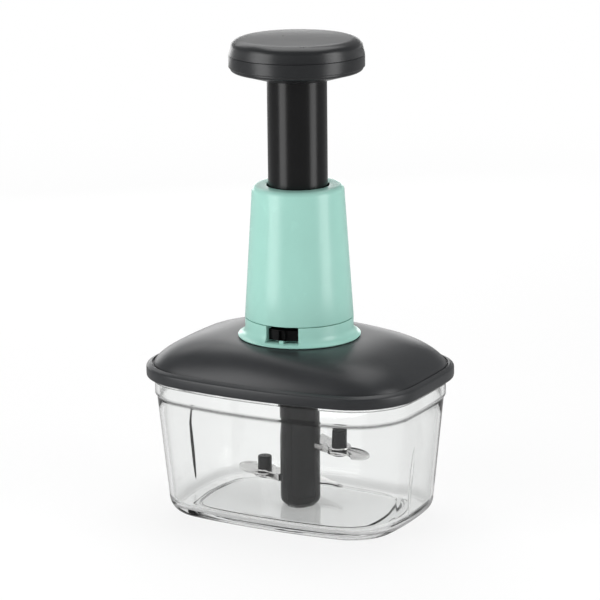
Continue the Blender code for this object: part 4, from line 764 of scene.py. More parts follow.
class Profile:
    """A section drawn in the XZ plane, point by point and arc by arc, then turned about Z."""

    def __init__(self, radius, height):
        self.shell = bmesh.new()
        self.first = self.shell.verts.new((radius, 0.0, height))
        self.last = self.first

    def line(self, *points):
        """Run straight through points, each a radius and a height."""
        for radius, height in points:
            point = self.shell.verts.new((radius, 0.0, height))
            self.shell.edges.new((self.last, point))
            self.last = point
        return self

    def arc(self, centre, degrees, steps=8):
        """Turn the last point about a centre; positive turns from +X towards +Z."""
        self.last = newest_point(bmesh.ops.spin(
            self.shell, geom=[self.last], cent=(centre[0], 0.0, centre[1]), axis=(0, -1, 0),
            angle=math.radians(degrees), steps=steps, use_merge=False, use_duplicate=False))
        return self

    def oval(self, centre, radii, start, end, steps):
        """Follow part of an ellipse, past its first point."""
        return self.line(*arc_points(centre, radii, start, end, steps)[1:])

    def close(self):
        self.shell.edges.new((self.last, self.first))
        return self

    def turned(self, start=0.0, angle=FULL_TURN, steps=TURNED_STEPS):
        """Sweep the section about Z, all the way round or through a part with flat ends."""
        full = angle > FULL_TURN - LEVEL
        shell = self.shell
        bmesh.ops.rotate(
            shell, verts=shell.verts, cent=(0, 0, 0), matrix=Matrix.Rotation(start, 3, "Z"))
        bmesh.ops.spin(
            shell, geom=list(shell.verts) + list(shell.edges), cent=(0, 0, 0), axis=(0, 0, 1),
            angle=angle, steps=steps, use_merge=full, use_duplicate=False)
        bmesh.ops.remove_doubles(shell, verts=shell.verts, dist=SAME_PLACE)
        if not full:
            close_ends(shell)
        face_outwards(shell)
        return shell


def ring_section(inner, outer, low, high):
    """A plain rectangular section between two radii and two heights."""
    return Profile(inner, low).line((outer, low), (outer, high), (inner, high)).close()


def end_corners(shell):
    """The level outward edges at the four corners of a part-turned section."""
    return [
        edge for edge in shell.edges
        if abs(edge.verts[0].co.z - edge.verts[1].co.z) < LEVEL and len(edge.link_faces) == 2
        and abs(edge.verts[0].co.xy.length - edge.verts[1].co.xy.length) > CORNER_REACH
        and edge.calc_face_angle(0.0) > CORNER_ANGLE
    ]


def helix(shell, rise, turn, steps):
    """Sweep a closed outline up and round the axis, and close its two ends."""
    bmesh.ops.spin(
        shell, geom=list(shell.verts) + list(shell.edges), cent=(0, 0, 0), axis=(0, 0, 1),
        dvec=(0, 0, rise / steps), angle=turn, steps=steps, use_merge=False,
        use_duplicate=False)
    close_ends(shell)
    face_outwards(shell)
    return shell


def bars(*boxes):
    """Straight bars, each between two corners of a box, turned about Z."""
    shell = bmesh.new()
    for low, high, turn in boxes:
        size = Vector(high) - Vector(low)
        middle = (Vector(high) + Vector(low)) / 2.0
        place = Matrix.Rotation(turn, 4, "Z") @ Matrix.Translation(middle) @ Matrix.Diagonal(
            (*size, 1.0))
        bmesh.ops.create_cube(shell, size=1.0, matrix=place)
    return shell


def carve(piece, cutter_shell, operation="DIFFERENCE"):
    """Cut a shape from a piece, or join it on, and keep the result in the piece's mesh."""
    mesh = bpy.data.meshes.new("cutter")
    cutter_shell.to_mesh(mesh)
    cutter_shell.free()
    cutter = bpy.data.objects.new("cutter", mesh)
    bpy.context.scene.collection.objects.link(cutter)
    others = list(piece.modifiers)
    modifier = piece.modifiers.new("carve", "BOOLEAN")
    modifier.operation = operation
    modifier.object = cutter
    modifier.solver = "EXACT"
    for item in others:
        item.show_viewport = False
    graph = bpy.context.evaluated_depsgraph_get()
    result = bpy.data.meshes.new_from_object(piece.evaluated_get(graph))
    piece.modifiers.remove(modifier)
    for item in piece.modifiers:
        item.show_viewport = True
    old = piece.data
    piece.data = result
    result.name = old.name
    bpy.data.meshes.remove(old)
    bpy.data.objects.remove(cutter, do_unlink=True)
    bpy.data.meshes.remove(mesh)
    piece.data.set_sharp_from_angle(angle=math.radians(SHARP))


def drill(piece, centre, radius, depth):
    """Bore an upright round hole through a piece about a centre."""
    hole = bmesh.new()
    bmesh.ops.create_cone(hole, cap_ends=True, segments=SMALL_STEPS, radius1=radius,
                          radius2=radius, depth=depth, matrix=Matrix.Translation(centre))
    carve(piece, hole)


# Bowl

def wall_outline(height):
    """Outline of the drafted wall at a height."""
    length, width, long_bow, short_bow, corner = LID_OUTLINE
    step = BAND_INSET + LEDGE_STEP
    top = (length - step, width - step, long_bow, short_bow, corner - step)
    share = (height - FOOT_ROUND_Z) / (LEDGE_Z - FOOT_ROUND_Z)
    return tuple(low + (high - low) * share for low, high in zip(FOOT_OUTLINE, top))


def foot_outline(share):
    """Outline of the foot's round, which runs in further at the ends than at the sides."""
    length, width, long_bow, short_bow, corner = FOOT_OUTLINE
    return (length - FOOT_END_ROUND * share, width - FOOT_ROUND * share, long_bow, short_bow,
            corner - FOOT_ROUND * share)


def bowl_stations():
    """Outline, inset and height of each loop, from the foot up the outside and down inside."""
    quarter = [RIGHT_ANGLE * step / QUARTER_STEPS for step in range(QUARTER_STEPS + 1)]
    foot, ledge = foot_outline(1.0), wall_outline(LEDGE_Z)
    floor_edge = wall_outline(FLOOR_Z + FLOOR_ROUND)
    return [
        *((foot, inset, height) for inset, height in FOOT_SECTION),
        *((foot_outline(1.0 - math.sin(angle)), 0.0, FOOT_ROUND_Z * (1.0 - math.cos(angle)))
          for angle in quarter),
        *((wall_outline(height), 0.0, height) for height in WALL_HEIGHTS),
        (ledge, 0.0, LEDGE_Z - LEDGE_ROUND),
        *((LID_OUTLINE, BAND_INSET + inset, height) for inset, height in BAND_SECTION),
        (ledge, WALL, LEDGE_Z - LEDGE_INNER_ROUND),
        *((wall_outline(height), WALL, height) for height in reversed(WALL_HEIGHTS[1:-1])),
        (floor_edge, WALL, FLOOR_Z + FLOOR_ROUND + FLOOR_MEET),
        *((floor_edge, WALL + FLOOR_ROUND * (1.0 - math.cos(angle)),
           FLOOR_Z + FLOOR_ROUND * (1.0 - math.sin(angle))) for angle in quarter),
        *((RING_OUTLINE, inset, height) for inset, height in GROOVE_SECTION),
    ]


def end_rib(side, across):
    """A slim rib up an end wall, swelling from a point at each end."""
    shell = bmesh.new()
    loops = []
    for step in range(RIB_STEPS + 1):
        share = step / RIB_STEPS
        height = RIB_LOW_Z + (RIB_HIGH_Z - RIB_LOW_Z) * share
        radius = RIB_TIP + RIB_SWELL * math.sqrt(abs(math.sin(math.pi * share)))
        reach = wall_outline(height)[0] - WALL
        loops.append(circle_loop(shell, radius, height, RIB_SIDES, (side * reach, across)))
    join_edges(shell, loops)
    for end in (loops[0], loops[-1]):
        bmesh.ops.contextual_create(shell, geom=end)
    face_outwards(shell)
    return shell


class CHOPPER_OT_bowl(bpy.types.Operator):
    """Clear moulded bowl with its band, ledge, foot ring, end ribs and middle boss"""
    bl_idname = "chopper.bowl"
    bl_label = "Bowl"

    def execute(self, context):
        shell = bmesh.new()
        loops = [outline_loop(shell, *station) for station in bowl_stations()]
        underside = bmesh.ops.contextual_create(shell, geom=loops[0])
        if not underside["faces"]:
            raise RuntimeError("the bowl's underside did not close")
        loops += [circle_loop(shell, radius, height) for radius, height in BOSS_SECTION]
        join_edges(shell, loops)
        bmesh.ops.contextual_create(shell, geom=loops[-1])
        face_outwards(shell)
        piece = finish_piece(
            "clear_bowl", shell, "clear", "bowl", "container", sharp=BOWL_SHARP)
        for side, across in END_RIBS:
            carve(piece, end_rib(side, across), "UNION")
        piece.visible_shadow = False
        return {"FINISHED"}


# Lid

def dome_loop(shell, inset, edge_z, crown_radius, crown_z, part):
    """One loop of the dome, part of the way from the rim outline to the crown's circle."""
    share = part ** DOME_SPACING
    rise = (1.0 - (1.0 - share) ** DOME_FALL) ** DOME_RISE
    height = edge_z + (crown_z - edge_z) * rise
    edges = outline_loop(shell, LID_OUTLINE, inset, height)
    for vert in {vert for edge in edges for vert in edge.verts}:
        flat = vert.co.xy
        flat = flat.lerp(flat.normalized() * crown_radius, share)
        vert.co = (flat.x, flat.y, height)
    return edges


class CHOPPER_OT_lid(bpy.types.Operator):
    """Domed lid shell with its rolled rim band, groove and open middle"""
    bl_idname = "chopper.lid"
    bl_label = "Lid"

    def execute(self, context):
        shell = bmesh.new()
        crown_z, under_z = LID_HIGH.z, LID_HIGH.z - LID_WALL
        loops = [outline_loop(shell, LID_OUTLINE, *station) for station in RIM_SECTION]
        loops += [dome_loop(shell, DOME_INSET, DOME_EDGE_Z, COLLAR_FOOT, crown_z,
                            step / DOME_STEPS) for step in range(DOME_STEPS + 1)]
        loops += [circle_loop(shell, LID_HOLE, height) for height in (crown_z, under_z)]
        loops += [dome_loop(shell, INNER_INSET, LID_LEDGE_Z, COLLAR_FOOT - LID_WALL, under_z,
                            step / INNER_STEPS) for step in range(INNER_STEPS, -1, -1)]
        loops += [outline_loop(shell, LID_OUTLINE, SKIRT_WALL, height)
                  for height in (LID_LEDGE_Z, SKIRT_Z)]
        join_edges(shell, loops, closed=True)
        face_outwards(shell)
        finish_piece("domed_lid", shell, "charcoal", "lid", "lid_shell", sharp=LID_SHARP)
        return {"FINISHED"}


# Drive housing

def collar_section():
    """Section of the collar from its bore out round the flare, over its lip and back inside."""
    low, foot = COLLAR_LOW.z, COLLAR_FOOT - SMALL_ROUND
    section = Profile(COLLAR_BORE, low).line((foot, low))
    section.arc((foot, low + SMALL_ROUND), 90.0, 3).line((COLLAR_FOOT, low + FLARE_EDGE))
    section.oval((COLLAR_FOOT, FLARE_TOP_Z), (COLLAR_FLARE, FLARE_HEIGHT), *FLARE_ARC)
    roof, sleeve = COLLAR_TOP_Z - COLLAR_ROOF, COLLAR_FLOOR_Z + COLLAR_SLEEVE_HEIGHT
    section.line(
        (COLLAR_RADIUS, COLLAR_TOP_Z), (COLLAR_LIP_RADIUS, COLLAR_TOP_Z),
        (COLLAR_LIP_RADIUS, COLLAR_HIGH.z), (COLLAR_LIP_BORE, COLLAR_HIGH.z),
        (COLLAR_LIP_BORE, roof), (COLLAR_ROOM, roof), (COLLAR_ROOM, COLLAR_FLOOR_Z),
        (COLLAR_SLEEVE, COLLAR_FLOOR_Z), (COLLAR_SLEEVE, sleeve), (COLLAR_BORE, sleeve))
    return section.close()


def screw_bosses():
    """Round bosses on the collar's floor that its screws go into."""
    shell = bmesh.new()
    for degrees in SCREW_BOSS_TURNS:
        place = Matrix.Rotation(math.radians(degrees), 4, "Z") @ Matrix.Translation(
            (SCREW_BOSS_REACH, 0.0, COLLAR_FLOOR_Z + SCREW_BOSS_RISE))
        bmesh.ops.create_cone(
            shell, cap_ends=True, segments=SCREW_BOSS_STEPS, radius1=SCREW_BOSS_LOW,
            radius2=SCREW_BOSS_HIGH, depth=SCREW_BOSS_DEPTH, matrix=place)
    return shell


class CHOPPER_OT_collar(bpy.types.Operator):
    """Flared collar with the lock window, its sill and the pointer tab"""
    bl_idname = "chopper.collar"
    bl_label = "Collar"

    def execute(self, context):
        piece = finish_piece("flared_collar", collar_section().turned(), "mint", "lid",
                             "housing_collar", edge=COLLAR_EDGE)
        window = ring_section(
            WINDOW_INNER, WINDOW_OUTER, COLLAR_FLOOR_Z - WINDOW_SILL, COLLAR_TOP_Z).turned(
            WINDOW_START, WINDOW_END - WINDOW_START, WINDOW_STEPS)
        lower = [e for e in end_corners(window) if e.verts[0].co.z < COLLAR_FLOOR_Z]
        round_edges(window, lower, WINDOW_CORNER, 4)
        carve(piece, window)
        tab = bars((POINTER_LOW, POINTER_HIGH, POINTER_ANGLE))
        upper = [e for e in tab.edges if min(v.co.z for v in e.verts) > COLLAR_FLOOR_Z]
        round_edges(tab, upper, SMALL_ROUND, 3)
        carve(piece, tab, "UNION")
        carve(piece, screw_bosses(), "UNION")
        return {"FINISHED"}


class CHOPPER_OT_cone(bpy.types.Operator):
    """Tapered drive housing with a rolled top edge and two inner rails"""
    bl_idname = "chopper.cone"
    bl_label = "Cone"

    def execute(self, context):
        low, high = CONE_LOW.z, CONE_HIGH.z - CONE_DROP
        round_z, hole = high - CONE_FILLET, CONE_HOLE + CONE_HOLE_ROUND
        section = Profile(COLLAR_RADIUS - CONE_WALL_LOW, low)
        section.line(*((COLLAR_RADIUS - inset, low + rise) for inset, rise in CONE_FOOT))
        section.line(*straight((COLLAR_RADIUS, low), (CONE_TOP_RADIUS, round_z)))
        section.arc((CONE_TOP_RADIUS - CONE_FILLET, round_z), 90.0, 12).line((hole, high))
        section.arc((hole, high - CONE_HOLE_ROUND), 90.0, 4)
        section.line((CONE_HOLE, CONE_UNDER_Z), (CONE_TOP_RADIUS - CONE_WALL_HIGH, CONE_UNDER_Z))
        piece = finish_piece("tapered_housing", section.close().turned(), "mint", "lid",
                             "housing_cone")
        rail = ((RAIL_START, -RAIL_HALF, COLLAR_HIGH.z + GAP),
                (RAIL_END, RAIL_HALF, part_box("guide_bush")[0].z - GAP))
        carve(piece, bars((*rail, 0.0), (*rail, math.pi)), "UNION")
        return {"FINISHED"}


class CHOPPER_OT_lock_ring(bpy.types.Operator):
    """Black lock ring with two finger ribs and the upright tongue"""
    bl_idname = "chopper.lock_ring"
    bl_label = "Lock ring"

    def execute(self, context):
        section = ring_section(LOCK_INNER, LOCK_OUTER, LOCK_LOW_Z, LOCK_TOP_Z)
        piece = finish_piece("lock_ring_body", section.turned(), "black", "lock", "lock_ring",
                             edge=SMALL_ROUND)
        for angle in LOCK_RIB_ANGLES:
            rib = bars((LOCK_RIB_LOW, LOCK_RIB_HIGH, angle))
            outer = [e for e in rib.edges
                     if min(v.co.xy.length for v in e.verts) > LOCK_RIB_FACE]
            round_edges(rib, outer, SMALL_ROUND, 3)
            carve(piece, rib, "UNION")
        for low, high in LOCK_TONGUE:
            carve(piece, bars((low, high, RIGHT_ANGLE)), "UNION")
        return {"FINISHED"}


# Plunger and knob

class CHOPPER_OT_tube(bpy.types.Operator):
    """Round plunger tube with its slotted flange"""
    bl_idname = "chopper.tube"
    bl_label = "Plunger tube"

    def execute(self, context):
        low, high = TUBE_LOW.z, TUBE_HIGH.z
        flange, step = low + FLANGE_HEIGHT, low + NUT_STEP
        section = Profile(NUT_BORE, low).line(
            (FLANGE_RADIUS, low), (FLANGE_RADIUS, flange), (TUBE_RADIUS, flange),
            *straight((TUBE_RADIUS, flange), (TUBE_RADIUS, high)), (TUBE_BORE, high),
            (TUBE_BORE, step), (NUT_BORE, step))
        piece = finish_piece("round_plunger", section.close().turned(), "tube", "plunger",
                             "plunger_tube")
        carve(piece, bars(*(
            ((start, -half, low - SLOT_BELOW), (SLOT_END, half, low + SLOT_ABOVE), turn)
            for start, half, turn in FLANGE_SLOTS)))
        return {"FINISHED"}


def twisted_bar(half_flat, low, high):
    """A square bar that turns once in each lead."""
    shell = bmesh.new()
    bmesh.ops.create_circle(
        shell, segments=4, radius=half_flat * math.sqrt(2.0),
        matrix=Matrix.Translation((0, 0, low)) @ Matrix.Rotation(RIGHT_ANGLE / 2.0, 4, "Z"))
    corners = bmesh.ops.bevel(shell, geom=list(shell.verts), offset=ROD_CORNER, segments=3,
                              profile=0.5, affect="VERTICES", material=-1)
    if not corners["verts"]:
        raise RuntimeError("the rod's corners were not rounded")
    long_sides = [edge for edge in shell.edges if edge.calc_length() > half_flat]
    bmesh.ops.subdivide_edges(shell, edges=long_sides, cuts=ROD_SIDE_CUTS)
    turn = FULL_TURN * (high - low) / ROD_LEAD
    return helix(shell, high - low, turn, round(turn / TWIST_STEP))


class CHOPPER_OT_rod(bpy.types.Operator):
    """Twisted square drive rod with its flange, journal, squared end and tip"""
    bl_idname = "chopper.rod"
    bl_label = "Drive rod"

    def execute(self, context):
        low, high = (corner.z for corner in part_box("drive_rod"))
        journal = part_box("ratchet_wheel")[1].z + GAP
        flange, twist_top = ROD_FLANGE_Z + ROD_FLANGE_HEIGHT, high - ROD_TIP_HEIGHT
        section = Profile(0.0, low).line(
            (ROD_TAIL - SMALL_ROUND, low), (ROD_TAIL, low + SMALL_ROUND), (ROD_TAIL, journal),
            (ROD_JOURNAL, journal), (ROD_JOURNAL, ROD_FLANGE_Z),
            (ROD_FLANGE_RADIUS, ROD_FLANGE_Z), (ROD_FLANGE_RADIUS, flange), (0.0, flange))
        piece = finish_piece("twisted_rod", section.close().turned(steps=ROD_STEPS), "rod",
                             "rod", "drive_rod")
        carve(piece, twisted_bar(ROD_FLAT / 2.0, flange - ROD_SEAT, twist_top), "UNION")
        carve(piece, bars(((-ROD_END_HALF, -ROD_END_HALF, ROD_END_Z),
                           (ROD_END_HALF, ROD_END_HALF, journal + ROD_SEAT), 0.0)), "UNION")
        tip = Profile(0.0, twist_top - ROD_SEAT).line(
            (ROD_TIP, twist_top - ROD_SEAT), (ROD_TIP, high - ROD_TIP_ROUND),
            (ROD_TIP - ROD_TIP_ROUND, high), (0.0, high))
        carve(piece, tip.close().turned(steps=SMALL_STEPS), "UNION")
        hole = ring_section(0.0, ROD_HOLE, low - ROD_SEAT, low + ROD_HOLE_DEPTH)
        carve(piece, hole.turned(steps=SMALL_STEPS))
        return {"FINISHED"}


class CHOPPER_OT_spring(bpy.types.Operator):
    """Return spring, drawn as one fixed coil of wire; in use it closes up as the plunger goes down
    """
    bl_idname = "chopper.spring"
    bl_label = "Return spring"

    def execute(self, context):
        low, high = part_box("return_spring")
        length = high.z - low.z
        shell = bmesh.new()
        place = Matrix.Translation((high.x - SPRING_WIRE, 0.0, low.z + SPRING_WIRE))
        bmesh.ops.create_circle(shell, segments=WIRE_STEPS, radius=SPRING_WIRE,
                                matrix=place @ Matrix.Rotation(RIGHT_ANGLE, 4, "X"))
        helix(shell, length - 2.0 * SPRING_WIRE, FULL_TURN * SPRING_TURNS,
              SPRING_TURNS * SPRING_STEPS)
        piece = finish_piece("return_coil", shell, "zinc", "plunger", "return_spring",
                             sharp=COIL_SHARP)
        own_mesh(piece)
        return {"FINISHED"}


def knob_lower_section():
    """Section of the knob's lower half: plate, rim, lip, rounded underside and boss."""
    low, seam = BASE_LOW.z, CAP_LOW.z - KNOB_SEAM
    lip, foot, bore = low + KNOB_LIP, low - KNOB_BOSS, TUBE_RADIUS + GAP
    plate_top, spigot = seam + KNOB_PLATE_RISE, seam + KNOB_SPIGOT_RISE
    sleeve, round_start = bore + KNOB_SLEEVE, KNOB_RADIUS - KNOB_STEP
    section = Profile(0.0, plate_top).line(
        (sleeve, plate_top), (sleeve, KNOB_ROOM_Z), (KNOB_ROOM, KNOB_ROOM_Z),
        (KNOB_ROOM, spigot), (KNOB_SPIGOT, spigot), (KNOB_SPIGOT, seam),
        (KNOB_RADIUS - KNOB_EDGE, seam), (KNOB_RADIUS, seam - KNOB_EDGE), (KNOB_RADIUS, lip))
    section.arc((KNOB_RADIUS - LIP_ROUND, lip), -90.0, 5)
    section.line((KNOB_RADIUS - 2.0 * LIP_ROUND, lip - LIP_ROUND), (round_start, lip - UNDER_DROP))
    section.oval((round_start - UNDER_ROUND, lip - UNDER_DROP), (UNDER_ROUND, UNDER_ROUND / 2.0),
                 *UNDER_ARC)
    return section.line(
        (KNOB_BOSS_RADIUS, foot), (bore, foot), (bore, plate_top - KNOB_PLATE),
        (0.0, plate_top - KNOB_PLATE))


def knob_upper_section():
    """Section of the knob's upper half, from its roof inside round to the crown."""
    low, inner, shoulder = CAP_LOW.z, KNOB_RADIUS - CAP_WALL + GAP, KNOB_RADIUS - KNOB_DRAFT
    section = Profile(0.0, CROWN_Z - CAP_ROOF).line((CAP_INNER_FACE, CROWN_Z - CAP_ROOF))
    section.oval((CAP_INNER_FACE, CROWN_Z - CAP_ROOF - CAP_INNER_RISE),
                 (inner - CAP_INNER_FACE, CAP_INNER_RISE), 90.0, 0.0, 8)
    section.line((inner, low), (KNOB_RADIUS - KNOB_EDGE, low), (KNOB_RADIUS, low + KNOB_EDGE),
                 (shoulder, SHOULDER_Z))
    section.oval((KNOB_FACE, SHOULDER_Z), (shoulder - KNOB_FACE, SHOULDER_RISE), 0.0, 90.0, 16)
    return section.line(*((KNOB_FACE * share, CROWN_Z - drop) for share, drop in CROWN_FALL))


class CHOPPER_OT_knob(bpy.types.Operator):
    """Palm knob in two halves with a fine seam between them"""
    bl_idname = "chopper.knob"
    bl_label = "Knob"

    def execute(self, context):
        for name, section, node in (("knob_underside", knob_lower_section(), "knob_base"),
                                    ("knob_top", knob_upper_section(), "knob_cap")):
            finish_piece(name, section.turned(), "knob", "plunger", node)
        return {"FINISHED"}


# Blade column

def arm_slot(level, turn):
    """The room that a strap's web takes up in the column."""
    return bars(((ARM_SLOT_START, STRAP_SWEEP - ARM_SLOT_HALF, level - ARM_SLOT_RISE),
                 (CUT_REACH, STRAP_SWEEP + ARM_SLOT_HALF, level + ARM_SLOT_RISE), turn))


class CHOPPER_OT_column(bpy.types.Operator):
    """Blade column with a rounded foot and a cover panel set into its side"""
    bl_idname = "chopper.column"
    bl_label = "Column"

    def execute(self, context):
        edge = context.scene.chopper_sizes.edge_round
        low, high = COLUMN_LOW.z, COLUMN_HIGH.z
        section = Profile(COLUMN_SEAT, low).line(
            *((radius, low + rise) for radius, rise in COLUMN_FOOT),
            *straight((COLUMN_RADIUS, low), (COLUMN_RADIUS, high)), (COLUMN_BORE, high),
            (COLUMN_BORE, COLUMN_SEAT_Z), (COLUMN_SEAT, COLUMN_SEAT_Z))
        piece = finish_piece("round_column", section.close().turned(), "black", "blade_unit",
                             "blade_column", edge=edge)
        play, span = GAP / COLUMN_RADIUS, COVER_END - COVER_START
        recess = ring_section(RECESS_INNER, CUT_REACH, COVER_LOW.z - GAP, COVER_HIGH.z + GAP)
        carve(piece, recess.turned(COVER_START - play, span + 2.0 * play, SMALL_STEPS))
        panel = ring_section(COVER_INNER, COLUMN_RADIUS, COVER_LOW.z, COVER_HIGH.z).turned(
            COVER_START, span, SMALL_STEPS)
        round_edges(panel, end_corners(panel), COVER_CORNER, 6)
        cover = finish_piece("cover_panel", panel, "black", "blade_unit", "column_cover",
                             edge=edge)
        carve(piece, arm_slot(*LOW_ARM))
        for crossed in (piece, cover):
            carve(crossed, arm_slot(*HIGH_ARM))
        carve(piece, bars((FLOOR_SLOT_LOW, FLOOR_SLOT_HIGH, FLOOR_TURN)))
        return {"FINISHED"}


def post_place(reach, turn):
    out = Vector((math.cos(turn), math.sin(turn), 0.0))
    return out * reach + Vector((-out.y, out.x, 0.0)) * STRAP_SWEEP


class CHOPPER_OT_posts(bpy.types.Operator):
    """Two black pivot posts with rounded ends"""
    bl_idname = "chopper.posts"
    bl_label = "Pivot posts"

    def execute(self, context):
        foot, top = POST_RADIUS - POST_FOOT_ROUND, POST_RADIUS - POST_TOP_ROUND
        for name, _low, place, _turn, _length in SWING_BLADES:
            low, high = (corner.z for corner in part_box(f"{name}_pivot_post"))
            section = Profile(0.0, low).line((foot, low))
            section.arc((foot, low + POST_FOOT_ROUND), 90.0, 5)
            section.line((POST_RADIUS, high - POST_TOP_ROUND))
            section.arc((top, high - POST_TOP_ROUND), 90.0, 6)
            section.line((POST_DIMPLE, high), (POST_DIMPLE_EDGE, high - POST_DIMPLE_DEPTH),
                         (0.0, high - POST_DIMPLE_DEPTH))
            shell = section.turned(steps=SMALL_STEPS)
            bmesh.ops.translate(shell, verts=shell.verts, vec=post_place(*place))
            finish_piece(f"{name}_post", shell, "black", "blade_unit", f"{name}_pivot_post")
        return {"FINISHED"}


def smooth_outline(points, steps):
    """A closed Catmull-Rom curve through points, so that a blade's edge has no corners."""
    count = len(points)
    curve = []
    for index in range(count):
        before, start, end, after = (points[(index + k) % count] for k in (-1, 0, 1, 2))
        for step in range(steps):
            t = step / steps
            curve.append(Vector(tuple(
                0.5 * (2.0 * s + (e - b) * t + (2.0 * b - 5.0 * s + 4.0 * e - a) * t * t
                       + (3.0 * s - b - 3.0 * e + a) * t ** 3)
                for b, s, e, a in zip(before, start, end, after))))
    return curve


def plate(outline, low, thickness, place, turn):
    """A flat plate drawn by its outline and pulled up to its thickness."""
    shell = bmesh.new()
    face = shell.faces.new([shell.verts.new((point[0], point[1], low)) for point in outline])
    raised = bmesh.ops.extrude_face_region(shell, geom=[face])
    verts = [item for item in raised["geom"] if isinstance(item, bmesh.types.BMVert)]
    bmesh.ops.translate(shell, verts=verts, vec=(0.0, 0.0, thickness))
    bmesh.ops.rotate(
        shell, verts=shell.verts, cent=(0, 0, 0), matrix=Matrix.Rotation(turn, 3, "Z"))
    bmesh.ops.translate(shell, verts=shell.verts, vec=place)
    face_outwards(shell)
    return shell


def ground_edge(shell, low, width, cutting):
    """Grind a sloping bevel from the top face down to a thin edge, where cutting says so."""
    middle = low + STEEL / 2.0
    top = [face for face in shell.faces if min(vert.co.z for vert in face.verts) > middle]
    rim = {vert for face in top for vert in face.verts if cutting(vert.co)}
    bmesh.ops.inset_region(shell, faces=top, thickness=width, depth=0.0, use_boundary=True,
                           use_even_offset=True)
    for vert in rim:
        vert.co.z = low + STEEL * GROUND_SHARE


class CHOPPER_OT_straps(bpy.types.Operator):
    """Folded steel straps: two leaves round each post, joined by a web in the column"""
    bl_idname = "chopper.straps"
    bl_label = "Straps"

    def execute(self, context):
        meet = math.degrees(math.asin(STRAP_HALF / STRAP_END))
        for name, _low, (reach, turn), _turn, _length in SWING_BLADES:
            low, high = (corner.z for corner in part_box(f"{name}_arm"))
            outline = [
                (STRAP_START, STRAP_SWEEP - STRAP_HALF),
                *arc_points((reach, STRAP_SWEEP), (STRAP_END, STRAP_END), meet - 180.0,
                            180.0 - meet, STRAP_STEPS),
                (STRAP_START, STRAP_SWEEP + STRAP_HALF),
            ]
            shell = plate(outline, low, high - low, Vector(), turn)
            piece = finish_piece(f"{name}_strap", shell, "steel", "blade_unit", f"{name}_arm",
                                 edge=STRAP_EDGE)
            carve(piece, bars((
                (THROAT_START, STRAP_SWEEP - THROAT_ROOM, low + STEEL),
                (reach + THROAT_ROOM, STRAP_SWEEP + THROAT_ROOM, high - STEEL), turn)))
            middle = Vector((0.0, 0.0, (low + high) / 2.0))
            drill(piece, post_place(reach, turn) + middle, STRAP_HOLE, STRAP_DRILL)
        return {"FINISHED"}


class CHOPPER_OT_blades(bpy.types.Operator):
    """Swing blades on their posts and the sickle blade near the floor"""
    bl_idname = "chopper.blades"
    bl_label = "Blades"

    def execute(self, context):
        width = context.scene.chopper_sizes.steel_edge
        for blade in SWING_BLADES:
            self.swing_blade(width, *blade)
        self.floor_blade(width)
        return {"FINISHED"}

    def swing_blade(self, width, name, low, place, turn, length):
        points = [(length * u, BLADE_WIDTH * v) for u, v in SWING_SHARES]
        points += arc_points((0.0, 0.0), (BLADE_HEEL, BLADE_HEEL), *HEEL_ARC)
        centre, home = post_place(*place), Matrix.Rotation(-turn, 3, "Z")
        shell = plate(smooth_outline(points, SWING_STEPS), low, STEEL, centre, turn)

        def leading(point):
            own = home @ (point - centre)
            return own.x > CUTTING_START and own.y > CUTTING_BACK

        ground_edge(shell, low, width, leading)
        piece = finish_piece(f"{name}_blade", shell, "steel", f"{name}_blade",
                             f"{name}_swing_blade", sharp=BLADE_SHARP)
        middle = Vector((0.0, 0.0, low + STEEL / 2.0))
        drill(piece, centre + middle, BLADE_HOLE, BLADE_DRILL)

    def floor_blade(self, width):
        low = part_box("floor_blade")[0].z
        curve = smooth_outline(
            [(FLOOR_REACH * share * math.cos(turn), FLOOR_REACH * share * math.sin(turn))
             for turn, share in FLOOR_SHARES], SICKLE_STEPS)
        points = [
            (TANG_START, -TANG_HALF), (TANG_END, -TANG_HALF),
            *curve[:SICKLE_STEPS * (len(FLOOR_SHARES) - 1) + 1],
            (TANG_END, TANG_HALF), (TANG_START, TANG_HALF),
        ]
        shell = plate(points, low, STEEL, Vector(), FLOOR_TURN)
        ground_edge(shell, low, width, lambda point: point.xy.length > SICKLE_CUTTING)
        finish_piece("sickle_blade", shell, "steel", "blade_unit", "floor_blade",
                     sharp=BLADE_SHARP)


class CHOPPER_OT_inner_finishes(bpy.types.Operator):
    """Finishes for the inner pieces whose CAD shape is kept"""
    bl_idname = "chopper.inner_finishes"
    bl_label = "Inner finishes"

    def execute(self, context):
        for node, name in CARRIED_OVER.items():
            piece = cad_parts[node]
            if not piece.material_slots:
                raise RuntimeError(f"{node} has no material slot")
            for place in piece.material_slots:
                place.material = finish(name)
        return {"FINISHED"}


# Stage

def floor_finish():
    """Pale floor: its own colour, brought to white where the camera, gloss or glass sees it."""
    made = Finish("floor_finish")
    colour = bpy.context.scene.chopper_colours.floor
    drift = made.place.noise(0.8, 2.0)
    made.feed(Base_Color=drift.blend(rgba(colour, 0.99), rgba(colour, 1.01)))
    made.fixed(Roughness=0.85, Specular_IOR_Level=0.1)
    camera, through, glossy = light_rays(made.tree)
    gloss = glossy * (1.0 - through)
    away = made.place.length().between(0.12, 1.10, "SMOOTHSTEP")
    beyond = made.place.scaled(12.6, 17.2, 0.0).length().between(0.96, 1.25)
    seen = camera * (0.74 + 0.26 * away) + through * (0.35 + 0.55 * beyond) + gloss * 0.70
    glow = made.start.node("ShaderNodeEmission", Color=WHITE, Strength=1.0 - gloss * 0.72)
    own = Wire(made.tree, made.shader.outputs[0])
    mixed = made.start.node("ShaderNodeMixShader", i0=seen.clamped(), i1=own, i2=glow)
    made.tree.links.new(mixed.socket, made.tree.nodes["Material Output"].inputs["Surface"])
    return made.material


